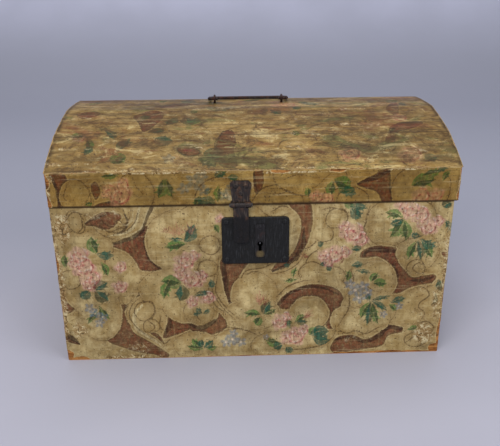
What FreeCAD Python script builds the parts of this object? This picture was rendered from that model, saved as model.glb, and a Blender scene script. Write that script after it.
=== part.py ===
import FreeCAD, Part
import os
import Sketcher
from FreeCAD import Placement, Rotation, Vector

# A small dome-topped pine trunk covered in printed wallpaper.
# X runs to the right along the front, the front faces -Y, Z is up.
# The origin is the middle of the underside, on the floor.

# Driving dimensions in millimetres, each with what it measures
SIZES = [
    ("chest_width", 449.0, "outside of the chest boards, left to right"),
    ("chest_depth", 319.0, "outside of the chest boards, front to back"),
    ("chest_height", 194.3, "floor to rim"),
    ("wall_thick", 11.0, "side, end and rail boards"),
    ("bottom_thick", 10.0, "board nailed under the walls"),
    ("corner_round", 2.5, "worn upright corners of the boards"),
    ("paper_thick", 0.5, "pasted wallpaper"),
    ("paper_wrap", 14.0, "paper folded round onto the ends"),
    ("paper_hem", 0.8, "bare wood left under the paper at the floor"),
    ("seam_gap", 0.6, "between rim and lid"),
    ("lid_oversize", 5.0, "lid boards wider than the chest boards"),
    ("lid_shift", 1.9, "lid sits this far to the right"),
    ("lid_overhang", 1.0, "lid front stands proud of the chest front"),
    ("band_tall", 38.9, "upright band of the lid"),
    ("dome_rise", 46.5, "dome over the band"),
    ("stave_thick", 7.2, "stave at its joints"),
    ("stave_crown", 1.0, "planed crown over the flat between two joints"),
    ("edge_stave_arc", 60.0, "width of the front and back staves"),
    ("hinge_from_middle", 140.0, "middle of the chest to the middle of a hinge"),
    ("hinge_wide", 30.0, "leaf width"),
    ("leaf_thick", 1.8, "hinge leaf"),
    ("lower_leaf_tall", 62.0, "below the hinge line"),
    ("upper_leaf_tall", 31.0, "above the hinge line"),
    ("leaf_round", 4.0, "corners of a hinge leaf"),
    ("knuckle_radius", 4.0, "outside of the hinge knuckle"),
    ("hinge_pin_radius", 1.8, "hinge pin"),
    ("pin_play", 0.05, "radial clearance of every hinge pin"),
    ("pin_head_thick", 1.2, "upset head of a pin"),
    ("pin_head_flare", 1.5, "head of a pin over its shank, as a factor"),
    ("running_gap", 0.3, "between pieces that turn or slide past each other"),
    ("lock_offset", 2.0, "middle of the lock plate right of the middle"),
    ("lock_wide", 76.0, "lock plate"),
    ("lock_tall", 56.0, "lock plate"),
    ("lock_drop", 14.3, "rim to the top of the lock plate"),
    ("lock_thick", 3.0, "lock plate"),
    ("lock_round", 4.5, "corners of the lock plate"),
    ("lock_bevel", 1.0, "bevelled edge of the lock plate"),
    ("lock_nail_inset", 5.5, "plate edge to nail"),
    ("key_offset", 5.1, "keyhole right of the middle of the plate"),
    ("key_rise", 24.7, "plate bottom to the round of the keyhole"),
    ("key_round", 3.2, "radius of the round of the keyhole"),
    ("key_slot_wide", 3.4, "slot under the round"),
    ("key_slot_drop", 8.9, "round to the foot of the slot"),
    ("drill_pin_radius", 1.1, "pin that the hollow key turns on"),
    ("escutcheon_wide", 10.9, "strip round the keyhole"),
    ("escutcheon_above", 23.5, "keyhole to the top of the strip"),
    ("escutcheon_below", 16.1, "keyhole to the foot of the strip"),
    ("escutcheon_thick", 1.2, "strip round the keyhole"),
    ("escutcheon_round", 2.0, "corners of the strip"),
    ("bolt_above_key", 12.2, "keyhole to the middle of the bolt"),
    ("bolt_tall", 4.6, "head of the bolt"),
    ("bolt_thick", 3.4, "bolt, front to back"),
    ("bolt_throw", 9.0, "travel of the bolt"),
    ("bolt_clear", 2.9, "staple to the end of the drawn bolt"),
    ("bolt_head_long", 9.0, "head in front of the talon"),
    ("talon_long", 18.0, "deep part of the bolt"),
    ("talon_half", 6.2, "half height of the deep part"),
    ("talon_notch", 4.5, "notch that the key bit drives"),
    ("talon_notch_deep", 3.4, "notch that the key bit drives"),
    ("stump_radius", 1.5, "pin that guides the bolt"),
    ("stump_collar", 2.6, "radius of the collar behind the bolt"),
    ("case_wide", 48.0, "lock case"),
    ("case_offset", 3.0, "middle of the lock case left of the plate's middle"),
    ("case_below", 12.3, "keyhole to the underside of the case"),
    ("case_above", 12.0, "bolt to the top of the case"),
    ("case_wall", 1.5, "sheet of the case"),
    ("case_fit", 0.2, "case in its mortise"),
    ("spring_thick", 0.6, "leaf spring over the bolt"),
    ("spring_wide", 3.0, "leaf spring over the bolt"),
    ("hasp_offset", 14.0, "hasp left of the middle"),
    ("hasp_wide", 23.0, "top of the hasp plate, and the knuckle"),
    ("hasp_waist", 19.0, "hasp plate over the knuckle"),
    ("hasp_plate_tall", 27.4, "hinge line to the top of the hasp plate"),
    ("hasp_waist_rise", 5.0, "hinge line to the waist"),
    ("hasp_plate_thick", 2.0, "plate on the lid"),
    ("hasp_corner", 3.0, "clipped corner of the hasp plate"),
    ("hasp_knuckle", 3.0, "outside radius of the hasp knuckle"),
    ("hasp_pin_radius", 1.4, "hasp pin"),
    ("hasp_line", 1.0, "rim to the hinge line of the hasp"),
    ("strap_wide", 17.0, "hanging strap"),
    ("strap_thick", 2.4, "hanging strap"),
    ("strap_gap", 0.4, "strap in front of the lock plate"),
    ("strap_below_bolt", 9.7, "bolt to the foot of the strap"),
    ("strap_round", 4.0, "corners of the foot of the strap"),
    ("staple_thick", 3.2, "staple, left to right"),
    ("staple_leg", 2.5, "each leg of the staple"),
    ("staple_hole", 6.0, "opening between the legs"),
    ("staple_play", 0.6, "bolt inside the loop, front to back"),
    ("staple_end", 2.0, "closed end of the loop"),
    ("staple_head", 0.5, "riveted leg ends in front of the strap"),
    ("slot_side", 1.7, "staple to each side of its slot"),
    ("slot_below", 8.0, "bolt to the foot of the slot"),
    ("slot_deep", 0.8, "staple to the back of its channel"),
    ("handle_offset", 0.5, "handle left of the middle"),
    ("handle_span", 100.6, "between the middles of the two arms"),
    ("handle_reach", 28.0, "turning line to the middle of the grip"),
    ("handle_wire", 2.1, "radius of the handle's iron"),
    ("handle_bend", 5.5, "bends beside the grip"),
    ("handle_foot_bend", 4.5, "bends beside the eyes"),
    ("handle_foot", 11.0, "arm to the end of the turned-in foot"),
    ("eye_inset", 7.2, "arm to the middle of its eye"),
    ("eye_wire", 1.3, "radius of the eye's wire"),
    ("eye_play", 0.5, "handle iron inside the eye"),
    ("eye_lift", 0.1, "eye over the paper"),
    ("eye_shank", 1.6, "radius of the doubled shank"),
    ("eye_leg_long", 9.0, "leg clinched under the stave"),
    ("eye_leg_thick", 1.3, "leg clinched under the stave"),
    ("nail_shank", 2.0, "square shank of a board nail"),
    ("nail_head", 4.6, "square head of a board nail"),
    ("nail_head_thick", 1.0, "head of a board nail, driven flush"),
    ("nail_long", 30.0, "board nail"),
    ("stave_nail_long", 22.0, "nail through a stave"),
    ("nail_inset", 18.0, "board edge to the first nail"),
    ("nail_clear", 0.05, "wood round a nail"),
    ("rail_nail_low", 9.7, "foot of the lid to the lower nail of a rail"),
    ("rail_nail_high", 23.3, "foot of the lid to the upper nail of a rail"),
    ("hinge_nail_across", 9.0, "middle of a leaf to its outer nails"),
    ("lower_nail_near", 21.7, "hinge line to the nearer nails of a lower leaf"),
    ("lower_nail_far", 50.8, "hinge line to the last nail of a lower leaf"),
    ("upper_nail_rise", 22.3, "hinge line to the nails of an upper leaf"),
    ("hasp_nail_inset", 6.0, "top of the hasp plate to its two upper nails"),
    ("hasp_nail_rise", 12.7, "hinge line to the lower nail of the hasp plate"),
    ("clout_shank", 1.8, "square shank of a nail through iron"),
    ("clout_head", 3.0, "corner radius of the hammered head"),
    ("clout_head_thick", 1.1, "hammered head over the iron"),
    ("clout_bevel", 0.9, "facets hammered off the head's edge"),
    ("clout_long", 11.0, "nail through iron, under its head"),
    ("rivet_radius", 1.3, "rivets of the escutcheon"),
    ("rivet_head", 1.8, "radius of a rivet head"),
    ("rivet_head_thick", 0.5, "rivets of the escutcheon"),
    ("rivet_inset", 6.0, "strip end to the upper rivet"),
    ("rivet_low_inset", 3.4, "strip end to the lower rivet"),
]

# Dimensions that follow from the driving ones
MADE = [
    ("front", "-sizes.chest_depth / 2"),
    ("back", "sizes.chest_depth / 2"),
    ("paper_front", "front - sizes.paper_thick"),
    ("paper_back", "back + sizes.paper_thick"),
    ("inner_half", "sizes.chest_depth / 2 - sizes.wall_thick"),
    ("lid_width", "sizes.chest_width + sizes.lid_oversize"),
    ("lid_depth", "sizes.chest_depth + sizes.lid_overhang"),
    ("lid_half", "lid_depth / 2"),
    ("lid_middle", "-sizes.lid_overhang / 2"),
    ("lid_front", "lid_middle - lid_half - sizes.paper_thick"),
    ("lid_bottom", "sizes.chest_height + sizes.seam_gap"),
    ("dome_edge", "lid_bottom + sizes.band_tall"),
    ("dome_radius", "(lid_half^2 + sizes.dome_rise^2) / (2 * sizes.dome_rise)"),
    ("dome_axis", "dome_edge + sizes.dome_rise - dome_radius"),
    ("under_radius", "dome_radius - sizes.stave_thick"),
    ("half_angle", "asin(lid_half / dome_radius) / 1 deg"),
    ("edge_angle", "sizes.edge_stave_arc / dome_radius * 180 / pi"),
    ("stave_angle", "(2 * half_angle - 2 * edge_angle) / 3"),
    ("joint_angle", "1.5 * stave_angle"),
    ("stave_bow", "dome_radius * sin(stave_angle / 2)"),
    ("stave_curve", "(stave_bow^2 + sizes.stave_crown^2) / (2 * sizes.stave_crown)"),
    ("edge_bow", "dome_radius * sin(edge_angle / 2)"),
    ("edge_curve", "(edge_bow^2 + sizes.stave_crown^2) / (2 * sizes.stave_crown)"),
    ("joint_out", "dome_radius * sin(joint_angle)"),
    ("joint_up", "dome_radius * cos(joint_angle)"),
    ("under_joint_out", "under_radius * sin(joint_angle)"),
    ("under_joint_up", "under_radius * cos(joint_angle)"),
    ("under_slope", "(under_joint_up - under_radius * cos(half_angle))"
                    " / (under_radius * sin(half_angle) - under_joint_out)"),
    ("under_edge_up", "under_joint_up - under_slope * (lid_half - under_joint_out)"),
    ("under_rail_up", "under_edge_up + under_slope * sizes.wall_thick"),
    ("edge_up", "dome_radius * cos(half_angle)"),
    ("band_paper_up", "sqrt(dome_radius^2 - (lid_half + sizes.paper_thick)^2)"),
    ("skin_radius", "dome_radius + sizes.paper_thick"),
    ("skin_edge_up", "sqrt(skin_radius^2 - (lid_half + sizes.paper_thick)^2)"),
    ("skin_bow", "skin_radius * sin(stave_angle / 2)"),
    ("skin_curve", "(skin_bow^2 + sizes.stave_crown^2) / (2 * sizes.stave_crown)"),
    ("skin_edge_curve", "edge_curve * skin_radius / dome_radius"),
    ("crown_top", "dome_radius * cos(stave_angle / 2) + sizes.stave_crown"),
    ("apex", "dome_axis + crown_top + sizes.paper_thick"),
    ("stave_underside", "dome_axis + under_radius * cos(stave_angle / 2)"),
    ("hinge_line", "sizes.chest_height + sizes.seam_gap / 2"),
    ("hinge_out", "paper_back + sizes.knuckle_radius + sizes.running_gap"),
    ("lock_top", "sizes.chest_height - sizes.lock_drop"),
    ("lock_low", "lock_top - sizes.lock_tall"),
    ("lock_face", "paper_front - sizes.lock_thick"),
    ("key_x", "sizes.lock_offset + sizes.key_offset"),
    ("key_up", "lock_low + sizes.key_rise"),
    ("bolt_up", "key_up + sizes.bolt_above_key"),
    ("bolt_front", "paper_front + sizes.running_gap"),
    ("bolt_back", "bolt_front + sizes.bolt_thick"),
    ("hasp_x", "-sizes.hasp_offset"),
    ("bolt_tip", "hasp_x + sizes.staple_thick / 2 + sizes.bolt_clear"),
    ("talon_left", "bolt_tip + sizes.bolt_head_long"),
    ("talon_right", "talon_left + sizes.talon_long"),
    ("stump_x", "talon_left + 3 * sizes.stump_radius"),
    ("stump_up", "bolt_up + sizes.bolt_tall / 2"),
    ("notch_x", "key_x + sizes.talon_notch"),
    ("case_x", "sizes.lock_offset - sizes.case_offset"),
    ("case_low", "key_up - sizes.case_below"),
    ("case_top", "bolt_up + sizes.case_above"),
    ("case_back", "front + sizes.wall_thick"),
    ("case_floor", "case_back - sizes.case_wall"),
    ("hasp_up", "sizes.chest_height + sizes.hasp_line"),
    ("hasp_out", "lid_front - sizes.running_gap - sizes.hasp_knuckle"),
    ("strap_back", "lock_face - sizes.strap_gap"),
    ("strap_front", "strap_back - sizes.strap_thick"),
    ("strap_low", "bolt_up - sizes.strap_below_bolt"),
    ("loop_end", "bolt_back + sizes.staple_play"),
    ("staple_tip", "loop_end + sizes.staple_end"),
    ("slot_half", "sizes.staple_thick / 2 + sizes.slot_side"),
    ("channel_back", "staple_tip + sizes.slot_deep"),
    ("eye_radius", "sizes.handle_wire + sizes.eye_play + sizes.eye_wire"),
    ("eye_rise", "eye_radius + sizes.eye_wire + sizes.eye_lift"),
    ("grip_rise", "sizes.handle_wire + sizes.running_gap"
                  " - sizes.handle_reach^2 / (2 * stave_curve)"),
    ("handle_lean", "asin((eye_rise - grip_rise) / sizes.handle_reach) / 1 deg"),
    ("arm_x", "sizes.handle_span / 2"),
    ("eye_x", "arm_x - sizes.eye_inset"),
]

doc = FreeCAD.newDocument("wallpaper_trunk")
pieces = []


def make_sheets():
    """Put the driving sizes and what follows from them in two spreadsheets."""
    sizes = doc.addObject("Spreadsheet::Sheet", "sizes")
    for row, (name, value, meaning) in enumerate(SIZES, 1):
        sizes.set(f"A{row}", meaning)
        sizes.set(f"B{row}", str(value))
        sizes.setAlias(f"B{row}", name)
    doc.recompute()
    made = doc.addObject("Spreadsheet::Sheet", "made")
    for row, (name, formula) in enumerate(MADE, 1):
        made.setAlias(f"B{row}", name)
        made.set(f"B{row}", "=" + formula)
    doc.recompute()
    return sizes


sizes = make_sheets()


def value(expression):
    """Give the present value of an expression on the sheets."""
    found = sizes.evalExpression(expression)
    return float(getattr(found, "Value", found))


def place(item, x="0", y="0", z="0", turn=None, angle=None):
    """Bind an object's place to expressions, after an optional fixed turn."""
    if turn:
        item.Placement = Placement(Vector(), turn)
    for axis, expression in zip("xyz", (x, y, z)):
        if expression != "0":
            item.setExpression(f"Placement.Base.{axis}", expression)
    if angle:
        item.setExpression("Placement.Rotation.Angle", angle)
    return item


def keep(item, label):
    """Name a finished sub-part and list it for writing."""
    item.Label = label
    pieces.append(item)
    return item


def make_box(name, x, y, z):
    """Box between two expressions along each axis."""
    box = doc.addObject("Part::Box", name)
    for side, (low, high) in zip(("Length", "Width", "Height"), (x, y, z)):
        box.setExpression(side, f"({high}) - ({low})")
    return place(box, x[0], y[0], z[0])


def make_cylinder(name, radius, length, x="0", y="0", z="0", turn=None):
    """Round bar from its own origin along its own Z, turned into place."""
    bar = doc.addObject("Part::Cylinder", name)
    bar.setExpression("Radius", radius)
    bar.setExpression("Height", length)
    return place(bar, x, y, z, turn)


def make_facet_bar(name, sides, radius, length, x="0", y="0", z="0", turn=None):
    """Hammered bar with flat sides inside a radius, along its own Z, turned into place."""
    bar = doc.addObject("Part::Prism", name)
    bar.Polygon = sides
    bar.setExpression("Circumradius", radius)
    bar.setExpression("Height", length)
    return place(bar, x, y, z, turn)


def combine(kind, name, base, tool):
    """Cut, fuse or intersect two shapes."""
    result = doc.addObject(f"Part::{kind}", name)
    result.Base = base
    result.Tool = tool
    return result


def join_all(name, shapes):
    """Fuse a list of shapes."""
    result = doc.addObject("Part::MultiFuse", name)
    result.Shapes = shapes
    return result


def group(name, shapes):
    """Hold separate solids together in one shape."""
    result = doc.addObject("Part::Compound", name)
    result.Links = shapes
    return result


def cut_away(name, base, tools):
    """Cut a list of tools from a piece, one after another."""
    for number, tool in enumerate(tools):
        base = combine("Cut", f"{name}_cut{number}", base, tool)
    return base


def origin_plane(body, role):
    """Find one of a body's own origin planes."""
    return [item for item in body.Origin.OriginFeatures if item.Role == role][0]


def new_sketch(body, role, name):
    """Sketch on one of a body's origin planes."""
    sketch = body.newObject("Sketcher::SketchObject", name)
    sketch.AttachmentSupport = [(origin_plane(body, role), "")]
    sketch.MapMode = "FlatFace"
    return sketch


def draw(sketch, corners, bends=None, closed=True):
    """Draw an outline through corners given as pairs of expressions.

    bends names the sides that are arcs by the number of their first corner,
    with the radius as an expression. A radius that starts with a minus sign
    bulges to the left of the way the outline runs.
    """
    bends = bends or {}
    first = sketch.GeometryCount
    spots = [Vector(value(across), value(up), 0) for across, up in corners]
    count = len(corners) if closed else len(corners) - 1
    for side in range(count):
        start = spots[side]
        end = spots[(side + 1) % len(spots)]
        if side in bends:
            sketch.addGeometry(arc_between(start, end, value(bends[side])))
        else:
            sketch.addGeometry(Part.LineSegment(start, end))
    heads = [1 if (sketch.getPoint(first + side, 1) - spots[side]).Length < 1e-4 else 2
             for side in range(count)]
    last_joint = count if closed else count - 1
    for side in range(last_joint):
        following = (side + 1) % count
        sketch.addConstraint(Sketcher.Constraint(
            "Coincident", first + side, 3 - heads[side], first + following,
            heads[following]))
    for number, corner in enumerate(corners):
        side = min(number, count - 1)
        end = heads[side] if number == side else 3 - heads[side]
        fix_corner(sketch, first + side, end, corner, spots[number])
    for side, radius in bends.items():
        size = abs(value(radius))
        mark = sketch.addConstraint(Sketcher.Constraint("Radius", first + side, size))
        sketch.setExpression(f"Constraints[{mark}]", f"abs({radius})")


def fix_corner(sketch, side, end, corner, spot):
    """Tie one corner of an outline to the sketch's axes."""
    for kind, axis, expression, where in (("DistanceX", -2, corner[0], spot.x),
                                          ("DistanceY", -1, corner[1], spot.y)):
        if expression == "0":
            sketch.addConstraint(Sketcher.Constraint("PointOnObject", side, end, axis))
            continue
        mark = sketch.addConstraint(Sketcher.Constraint(kind, -1, 1, side, end, where))
        sketch.setExpression(f"Constraints[{mark}]", expression)


def arc_between(start, end, radius):
    """Arc of a radius through two points, on the right of their line or the left."""
    chord = end - start
    middle = (start + end) * 0.5
    right = Vector(chord.y, -chord.x, 0)
    right.normalize()
    if radius < 0:
        right = -right
    size = abs(radius)
    sagitta = size - (size ** 2 - (chord.Length / 2) ** 2) ** 0.5
    return Part.Arc(start, middle + right * sagitta, end)


def padded_outline(name, role, corners, length, bends=None):
    """Body with one outline pushed out along its plane's normal."""
    body = doc.addObject("PartDesign::Body", name)
    sketch = new_sketch(body, role, f"{name}_outline")
    draw(sketch, corners, bends)
    pad = body.newObject("PartDesign::Pad", f"{name}_pad")
    pad.Profile = sketch
    pad.setExpression("Length", length)
    return body


def rounded_corners(half_wide, half_high, radius, low_radius=None):
    """Corners and bends of a rectangle about the origin with round corners."""
    low = low_radius or radius
    corners = [
        (f"-({half_wide}) + {low}", f"-({half_high})"),
        (f"({half_wide}) - {low}", f"-({half_high})"),
        (half_wide, f"-({half_high}) + {low}"),
        (half_wide, f"({half_high}) - {radius}"),
        (f"({half_wide}) - {radius}", half_high),
        (f"-({half_wide}) + {radius}", half_high),
        (f"-({half_wide})", f"({half_high}) - {radius}"),
        (f"-({half_wide})", f"-({half_high}) + {low}"),
    ]
    return corners, {1: low, 3: radius, 5: radius, 7: low}


def facet_corners(radius, sides):
    """Corners of a regular outline about the origin, with a flat to each axis."""
    turns = [(step + 0.5) * 360 / sides for step in range(sides)]
    return [(f"{radius} * cos({turn})", f"{radius} * sin({turn})") for turn in turns]


def flat_plate(name, half_wide, low, high, thick, radius):
    """Upright plate with round corners, facing -Y, its back at y = 0."""
    half_high = f"(({high}) - ({low})) / 2"
    corners, bends = rounded_corners(half_wide, half_high, radius)
    body = padded_outline(name, "XZ_Plane", corners, thick, bends)
    return place(body, z=f"(({high}) + ({low})) / 2")


def bevel_flats(body, way, size, both=False):
    """Bevel round a padded body's end face that looks a given way, or round both ends."""
    doc.recompute()
    pad = body.Tip
    faces = []
    for number, face in enumerate(pad.Shape.Faces, 1):
        turned = face.normalAt(0, 0).dot(way)
        if turned > 0.99 or both and turned < -0.99:
            faces.append(f"Face{number}")
    bevel = body.newObject("PartDesign::Chamfer", f"{body.Name}_bevel")
    bevel.Base = (pad, faces)
    bevel.setExpression("Size", size)


# Nails

TO_BACK = Rotation(Vector(1, 0, 0), 90)
TO_FRONT = Rotation(Vector(1, 0, 0), -90)
UPWARD = Rotation(Vector(1, 0, 0), 180)
ALONG_X = Rotation(Vector(0, 1, 0), 90)


def sprig(name, long, spare="0"):
    """Square nail without a head, its top at z = 0, or the hole for it, open above."""
    wide = f"sizes.nail_shank / 2 + {spare}"
    return [make_box(f"{name}_shank", (f"-({wide})", wide), (f"-({wide})", wide),
                     (f"-{long} - {spare}", spare))]


def square_nail(name, long, spare="0"):
    """Board nail with a square head whose top is at z = 0, or the hole for it."""
    head = f"sizes.nail_head / 2 + {spare}"
    shank = sprig(name, long, spare)[0]
    cap = make_box(f"{name}_cap", (f"-({head})", head), (f"-({head})", head),
                   (f"-sizes.nail_head_thick - {spare}", spare))
    return [shank, cap]


def clout_nail(name):
    """Nail through iron: a low faceted head over z = 0 and a square shank under it."""
    wide = "sizes.clout_shank / 2"
    shank = make_box(f"{name}_shank", (f"-{wide}", wide), (f"-{wide}", wide),
                     ("-sizes.clout_long", "0"))
    cap = padded_outline(f"{name}_cap", "XY_Plane", facet_corners("sizes.clout_head", 8),
                         "sizes.clout_head_thick")
    bevel_flats(cap, Vector(0, 0, 1), "sizes.clout_bevel")
    return [shank, cap]


def clout_hole():
    """Square hole for a nail through iron."""
    wide = "(sizes.clout_shank / 2 + sizes.nail_clear)"
    return [make_box("clout_hole_bar", (f"-{wide}", wide), (f"-{wide}", wide),
                     ("-sizes.clout_long - sizes.nail_clear", "sizes.lock_thick"))]


BOARD_NAIL = square_nail("board_nail", "sizes.nail_long")
BOARD_HOLE = square_nail("board_hole", "sizes.nail_long", "sizes.nail_clear")
WALL_NAIL = sprig("wall_nail", "sizes.nail_long")
WALL_HOLE = sprig("wall_hole", "sizes.nail_long", "sizes.nail_clear")
STAVE_NAIL = sprig("stave_nail", "sizes.stave_nail_long")
STAVE_HOLE = sprig("stave_hole", "sizes.stave_nail_long", "sizes.nail_clear")
CLOUT = clout_nail("clout")
CLOUT_HOLE = clout_hole()


def drive(name, kind, spots):
    """Set copies of one nail or hole at (x, y, z, turn, angle) places."""
    bind = join_all if len(kind) > 1 else group
    copies = []
    for number, (x, y, z, turn, angle) in enumerate(spots):
        copies.append(place(bind(f"{name}_{number}", kind), x, y, z, turn, angle))
    return group(name, copies)


def corner_spots():
    """Front and back boards nailed into the end boards, three nails to a corner."""
    spots = []
    reach = "(sizes.chest_width / 2 - sizes.wall_thick / 2)"
    span = "(sizes.chest_height - sizes.bottom_thick - 2 * sizes.nail_inset)"
    for turn, y in ((TO_BACK, "made.front"), (TO_FRONT, "made.back")):
        for sign in ("-", ""):
            for step in range(3):
                z = f"sizes.bottom_thick + sizes.nail_inset + {step} / 2 * {span}"
                spots.append((f"{sign}{reach}", y, z, turn, None))
    return spots


def bottom_spots():
    """Bottom board nailed up into the four walls."""
    spots = []
    for y in ("-(made.back - sizes.wall_thick / 2)", "made.back - sizes.wall_thick / 2"):
        for share in (-1, 0, 1):
            x = f"{share} / 3 * sizes.chest_width"
            spots.append((x, y, "0", UPWARD, None))
    for x in ("-(sizes.chest_width - sizes.wall_thick) / 2",
              "(sizes.chest_width - sizes.wall_thick) / 2"):
        for share in (-1, 1):
            spots.append((x, f"{share} / 4 * sizes.chest_depth", "0", UPWARD, None))
    return spots


def lock_spots():
    """Four nails at the corners of the lock plate."""
    spots = []
    for sign in ("-", "+"):
        x = f"sizes.lock_offset {sign} (sizes.lock_wide / 2 - sizes.lock_nail_inset)"
        for z in ("made.lock_low + sizes.lock_nail_inset",
                  "made.lock_top - sizes.lock_nail_inset"):
            spots.append((x, "made.lock_face", z, TO_BACK, None))
    return spots


def hinge_spots(places):
    """Nails of both hinges' leaves, at places from the leaf's middle and the hinge line."""
    spots = []
    y = "made.paper_back + sizes.leaf_thick"
    for side in ("-", ""):
        for across, up in places:
            spots.append((f"{side}sizes.hinge_from_middle {across}", y,
                          f"made.hinge_line {up}", TO_FRONT, None))
    return spots


def hasp_spots():
    """Three nails of the hasp plate: two high, one low."""
    face = "made.lid_front - sizes.hasp_plate_thick"
    high = "made.hasp_up + sizes.hasp_plate_tall - sizes.hasp_nail_inset"
    low = "made.hasp_up + sizes.hasp_nail_rise"
    return [
        ("made.hasp_x - sizes.hasp_wide / 4", face, high, TO_BACK, None),
        ("made.hasp_x + sizes.hasp_wide / 4", face, high, TO_BACK, None),
        ("made.hasp_x", face, low, TO_BACK, None),
    ]


def rail_spots():
    """Lid rails nailed into the lid's end boards."""
    spots = []
    for turn, y in ((TO_BACK, "made.lid_middle - made.lid_half"),
                    (TO_FRONT, "made.lid_middle + made.lid_half")):
        for sign in ("-", "+"):
            x = f"sizes.lid_shift {sign} (made.lid_width - sizes.wall_thick) / 2"
            for up in ("sizes.rail_nail_low", "sizes.rail_nail_high"):
                spots.append((x, y, f"made.lid_bottom + {up}", turn, None))
    return spots


def stave_spots():
    """Each stave nailed down into the end boards, square to its own face."""
    spots = []
    lean = Rotation(Vector(1, 0, 0), 1)
    edge_lean = "(made.half_angle - made.edge_angle / 2)"
    edge_depth = "(made.dome_radius * cos(made.edge_angle / 2) + sizes.stave_crown)"
    flat_depth = "made.crown_top"
    places = [("made.stave_angle", flat_depth, side) for side in (-1, 0, 1)]
    places += [(edge_lean, edge_depth, side) for side in (-1, 1)]
    for angle, depth, side in places:
        tilt = f"{side} * {angle}"
        for sign in ("-", "+"):
            x = f"sizes.lid_shift {sign} (made.lid_width - sizes.wall_thick) / 2"
            y = f"made.lid_middle - {depth} * sin({tilt})"
            z = f"made.dome_axis + {depth} * cos({tilt})"
            spots.append((x, y, z, lean, tilt if side else None))
    return [spot if spot[4] else spot[:3] + (None, None) for spot in spots]


OUTER_PAIR = (" - sizes.hinge_nail_across", " + sizes.hinge_nail_across")
LOWER_PLACES = [(across, "- sizes.lower_nail_near") for across in OUTER_PAIR]
LOWER_PLACES.append(("", "- sizes.lower_nail_far"))
UPPER_PLACES = [(across, "+ sizes.upper_nail_rise") for across in OUTER_PAIR]

corner_holes = drive("corner_holes", WALL_HOLE, corner_spots())
bottom_holes = drive("bottom_holes", BOARD_HOLE, bottom_spots())
lock_holes = drive("lock_holes", CLOUT_HOLE, lock_spots())
lower_holes = drive("lower_holes", CLOUT_HOLE, hinge_spots(LOWER_PLACES))
upper_holes = drive("upper_holes", CLOUT_HOLE, hinge_spots(UPPER_PLACES))
hasp_holes = drive("hasp_holes", CLOUT_HOLE, hasp_spots())
rail_holes = drive("rail_holes", WALL_HOLE, rail_spots())
stave_holes = drive("stave_holes", STAVE_HOLE, stave_spots())


def make_nails():
    """The nails themselves, one group for each job."""
    carcass = group("carcass_nails", [drive("corner_nails", WALL_NAIL, corner_spots()),
                                      drive("bottom_nails", BOARD_NAIL, bottom_spots())])
    keep(carcass, "carcass_nails")
    keep(drive("lock_nails", CLOUT, lock_spots()), "lock_nails")
    lower = drive("lower_hinge_nails", CLOUT, hinge_spots(LOWER_PLACES))
    keep(lower, "lower_hinge_nails")
    upper = drive("upper_hinge_nails", CLOUT, hinge_spots(UPPER_PLACES))
    keep(upper, "upper_hinge_nails")
    keep(drive("hasp_nails", CLOUT, hasp_spots()), "hasp_nails")
    lid = group("lid_nails", [drive("rail_nails", WALL_NAIL, rail_spots()),
                              drive("dome_nails", STAVE_NAIL, stave_spots())])
    keep(lid, "lid_nails")


# Chest boards

STAPLE_X = ("made.hasp_x - made.slot_half", "made.hasp_x + made.slot_half")


def lock_mortise():
    """Room for the lock case through the front board and its paper."""
    half = "sizes.case_wide / 2 + sizes.case_fit"
    return make_box("lock_mortise", (f"made.case_x - ({half})", f"made.case_x + {half}"),
                    ("made.paper_front", "made.case_back"),
                    ("made.case_low - sizes.case_fit", "made.case_top + sizes.case_fit"))


def staple_channel():
    """Upright groove behind the strap, up which the staple leaves as the lid lifts."""
    return make_box("staple_channel", STAPLE_X, ("made.paper_front", "made.channel_back"),
                    ("made.case_top", "sizes.chest_height"))


def bottom_board():
    """Board under the walls with round upright corners."""
    corners, bends = rounded_corners("sizes.chest_width / 2", "sizes.chest_depth / 2",
                                     "sizes.corner_round")
    body = padded_outline("bottom_blank", "XY_Plane", corners, "sizes.bottom_thick", bends)
    keep(cut_away("bottom_board", body, [bottom_holes]), "bottom_board")


def side_outline():
    """Plan of a full-width board whose two outer corners are round, front at y = 0."""
    half = "sizes.chest_width / 2"
    round_ = "sizes.corner_round"
    corners = [(f"-{half} + {round_}", "0"), (f"{half} - {round_}", "0"), (half, round_),
               (half, "sizes.wall_thick"), (f"-{half}", "sizes.wall_thick"),
               (f"-{half}", round_)]
    return corners, {1: round_, 5: round_}


def front_board(recess):
    """Front board, mortised for the lock and grooved for the staple."""
    corners, bends = side_outline()
    body = padded_outline("front_blank", "XY_Plane", corners,
                          "sizes.chest_height - sizes.bottom_thick", bends)
    place(body, y="made.front", z="sizes.bottom_thick")
    tools = recess + [corner_holes, bottom_holes, lock_holes]
    keep(cut_away("front_board", body, tools), "front_board")


def back_board():
    """Back board, the same plan turned round."""
    corners, bends = side_outline()
    body = padded_outline("back_blank", "XY_Plane", corners,
                          "sizes.chest_height - sizes.bottom_thick", bends)
    place(body, y="made.back", z="sizes.bottom_thick", turn=Rotation(Vector(0, 0, 1), 180))
    keep(cut_away("back_board", body, [corner_holes, bottom_holes, lower_holes]), "back_board")


def end_board(side):
    """End board between the front and back boards."""
    sign = "-" if side == "left" else ""
    near = "sizes.chest_width / 2 - sizes.wall_thick"
    low = "-sizes.chest_width / 2" if sign else near
    high = f"-({near})" if sign else "sizes.chest_width / 2"
    board = make_box(f"{side}_blank", (low, high), ("-made.inner_half", "made.inner_half"),
                     ("sizes.bottom_thick", "sizes.chest_height"))
    keep(cut_away(f"{side}_end_board", board, [corner_holes, bottom_holes]),
         f"{side}_end_board")


# Wallpaper of the chest

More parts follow.
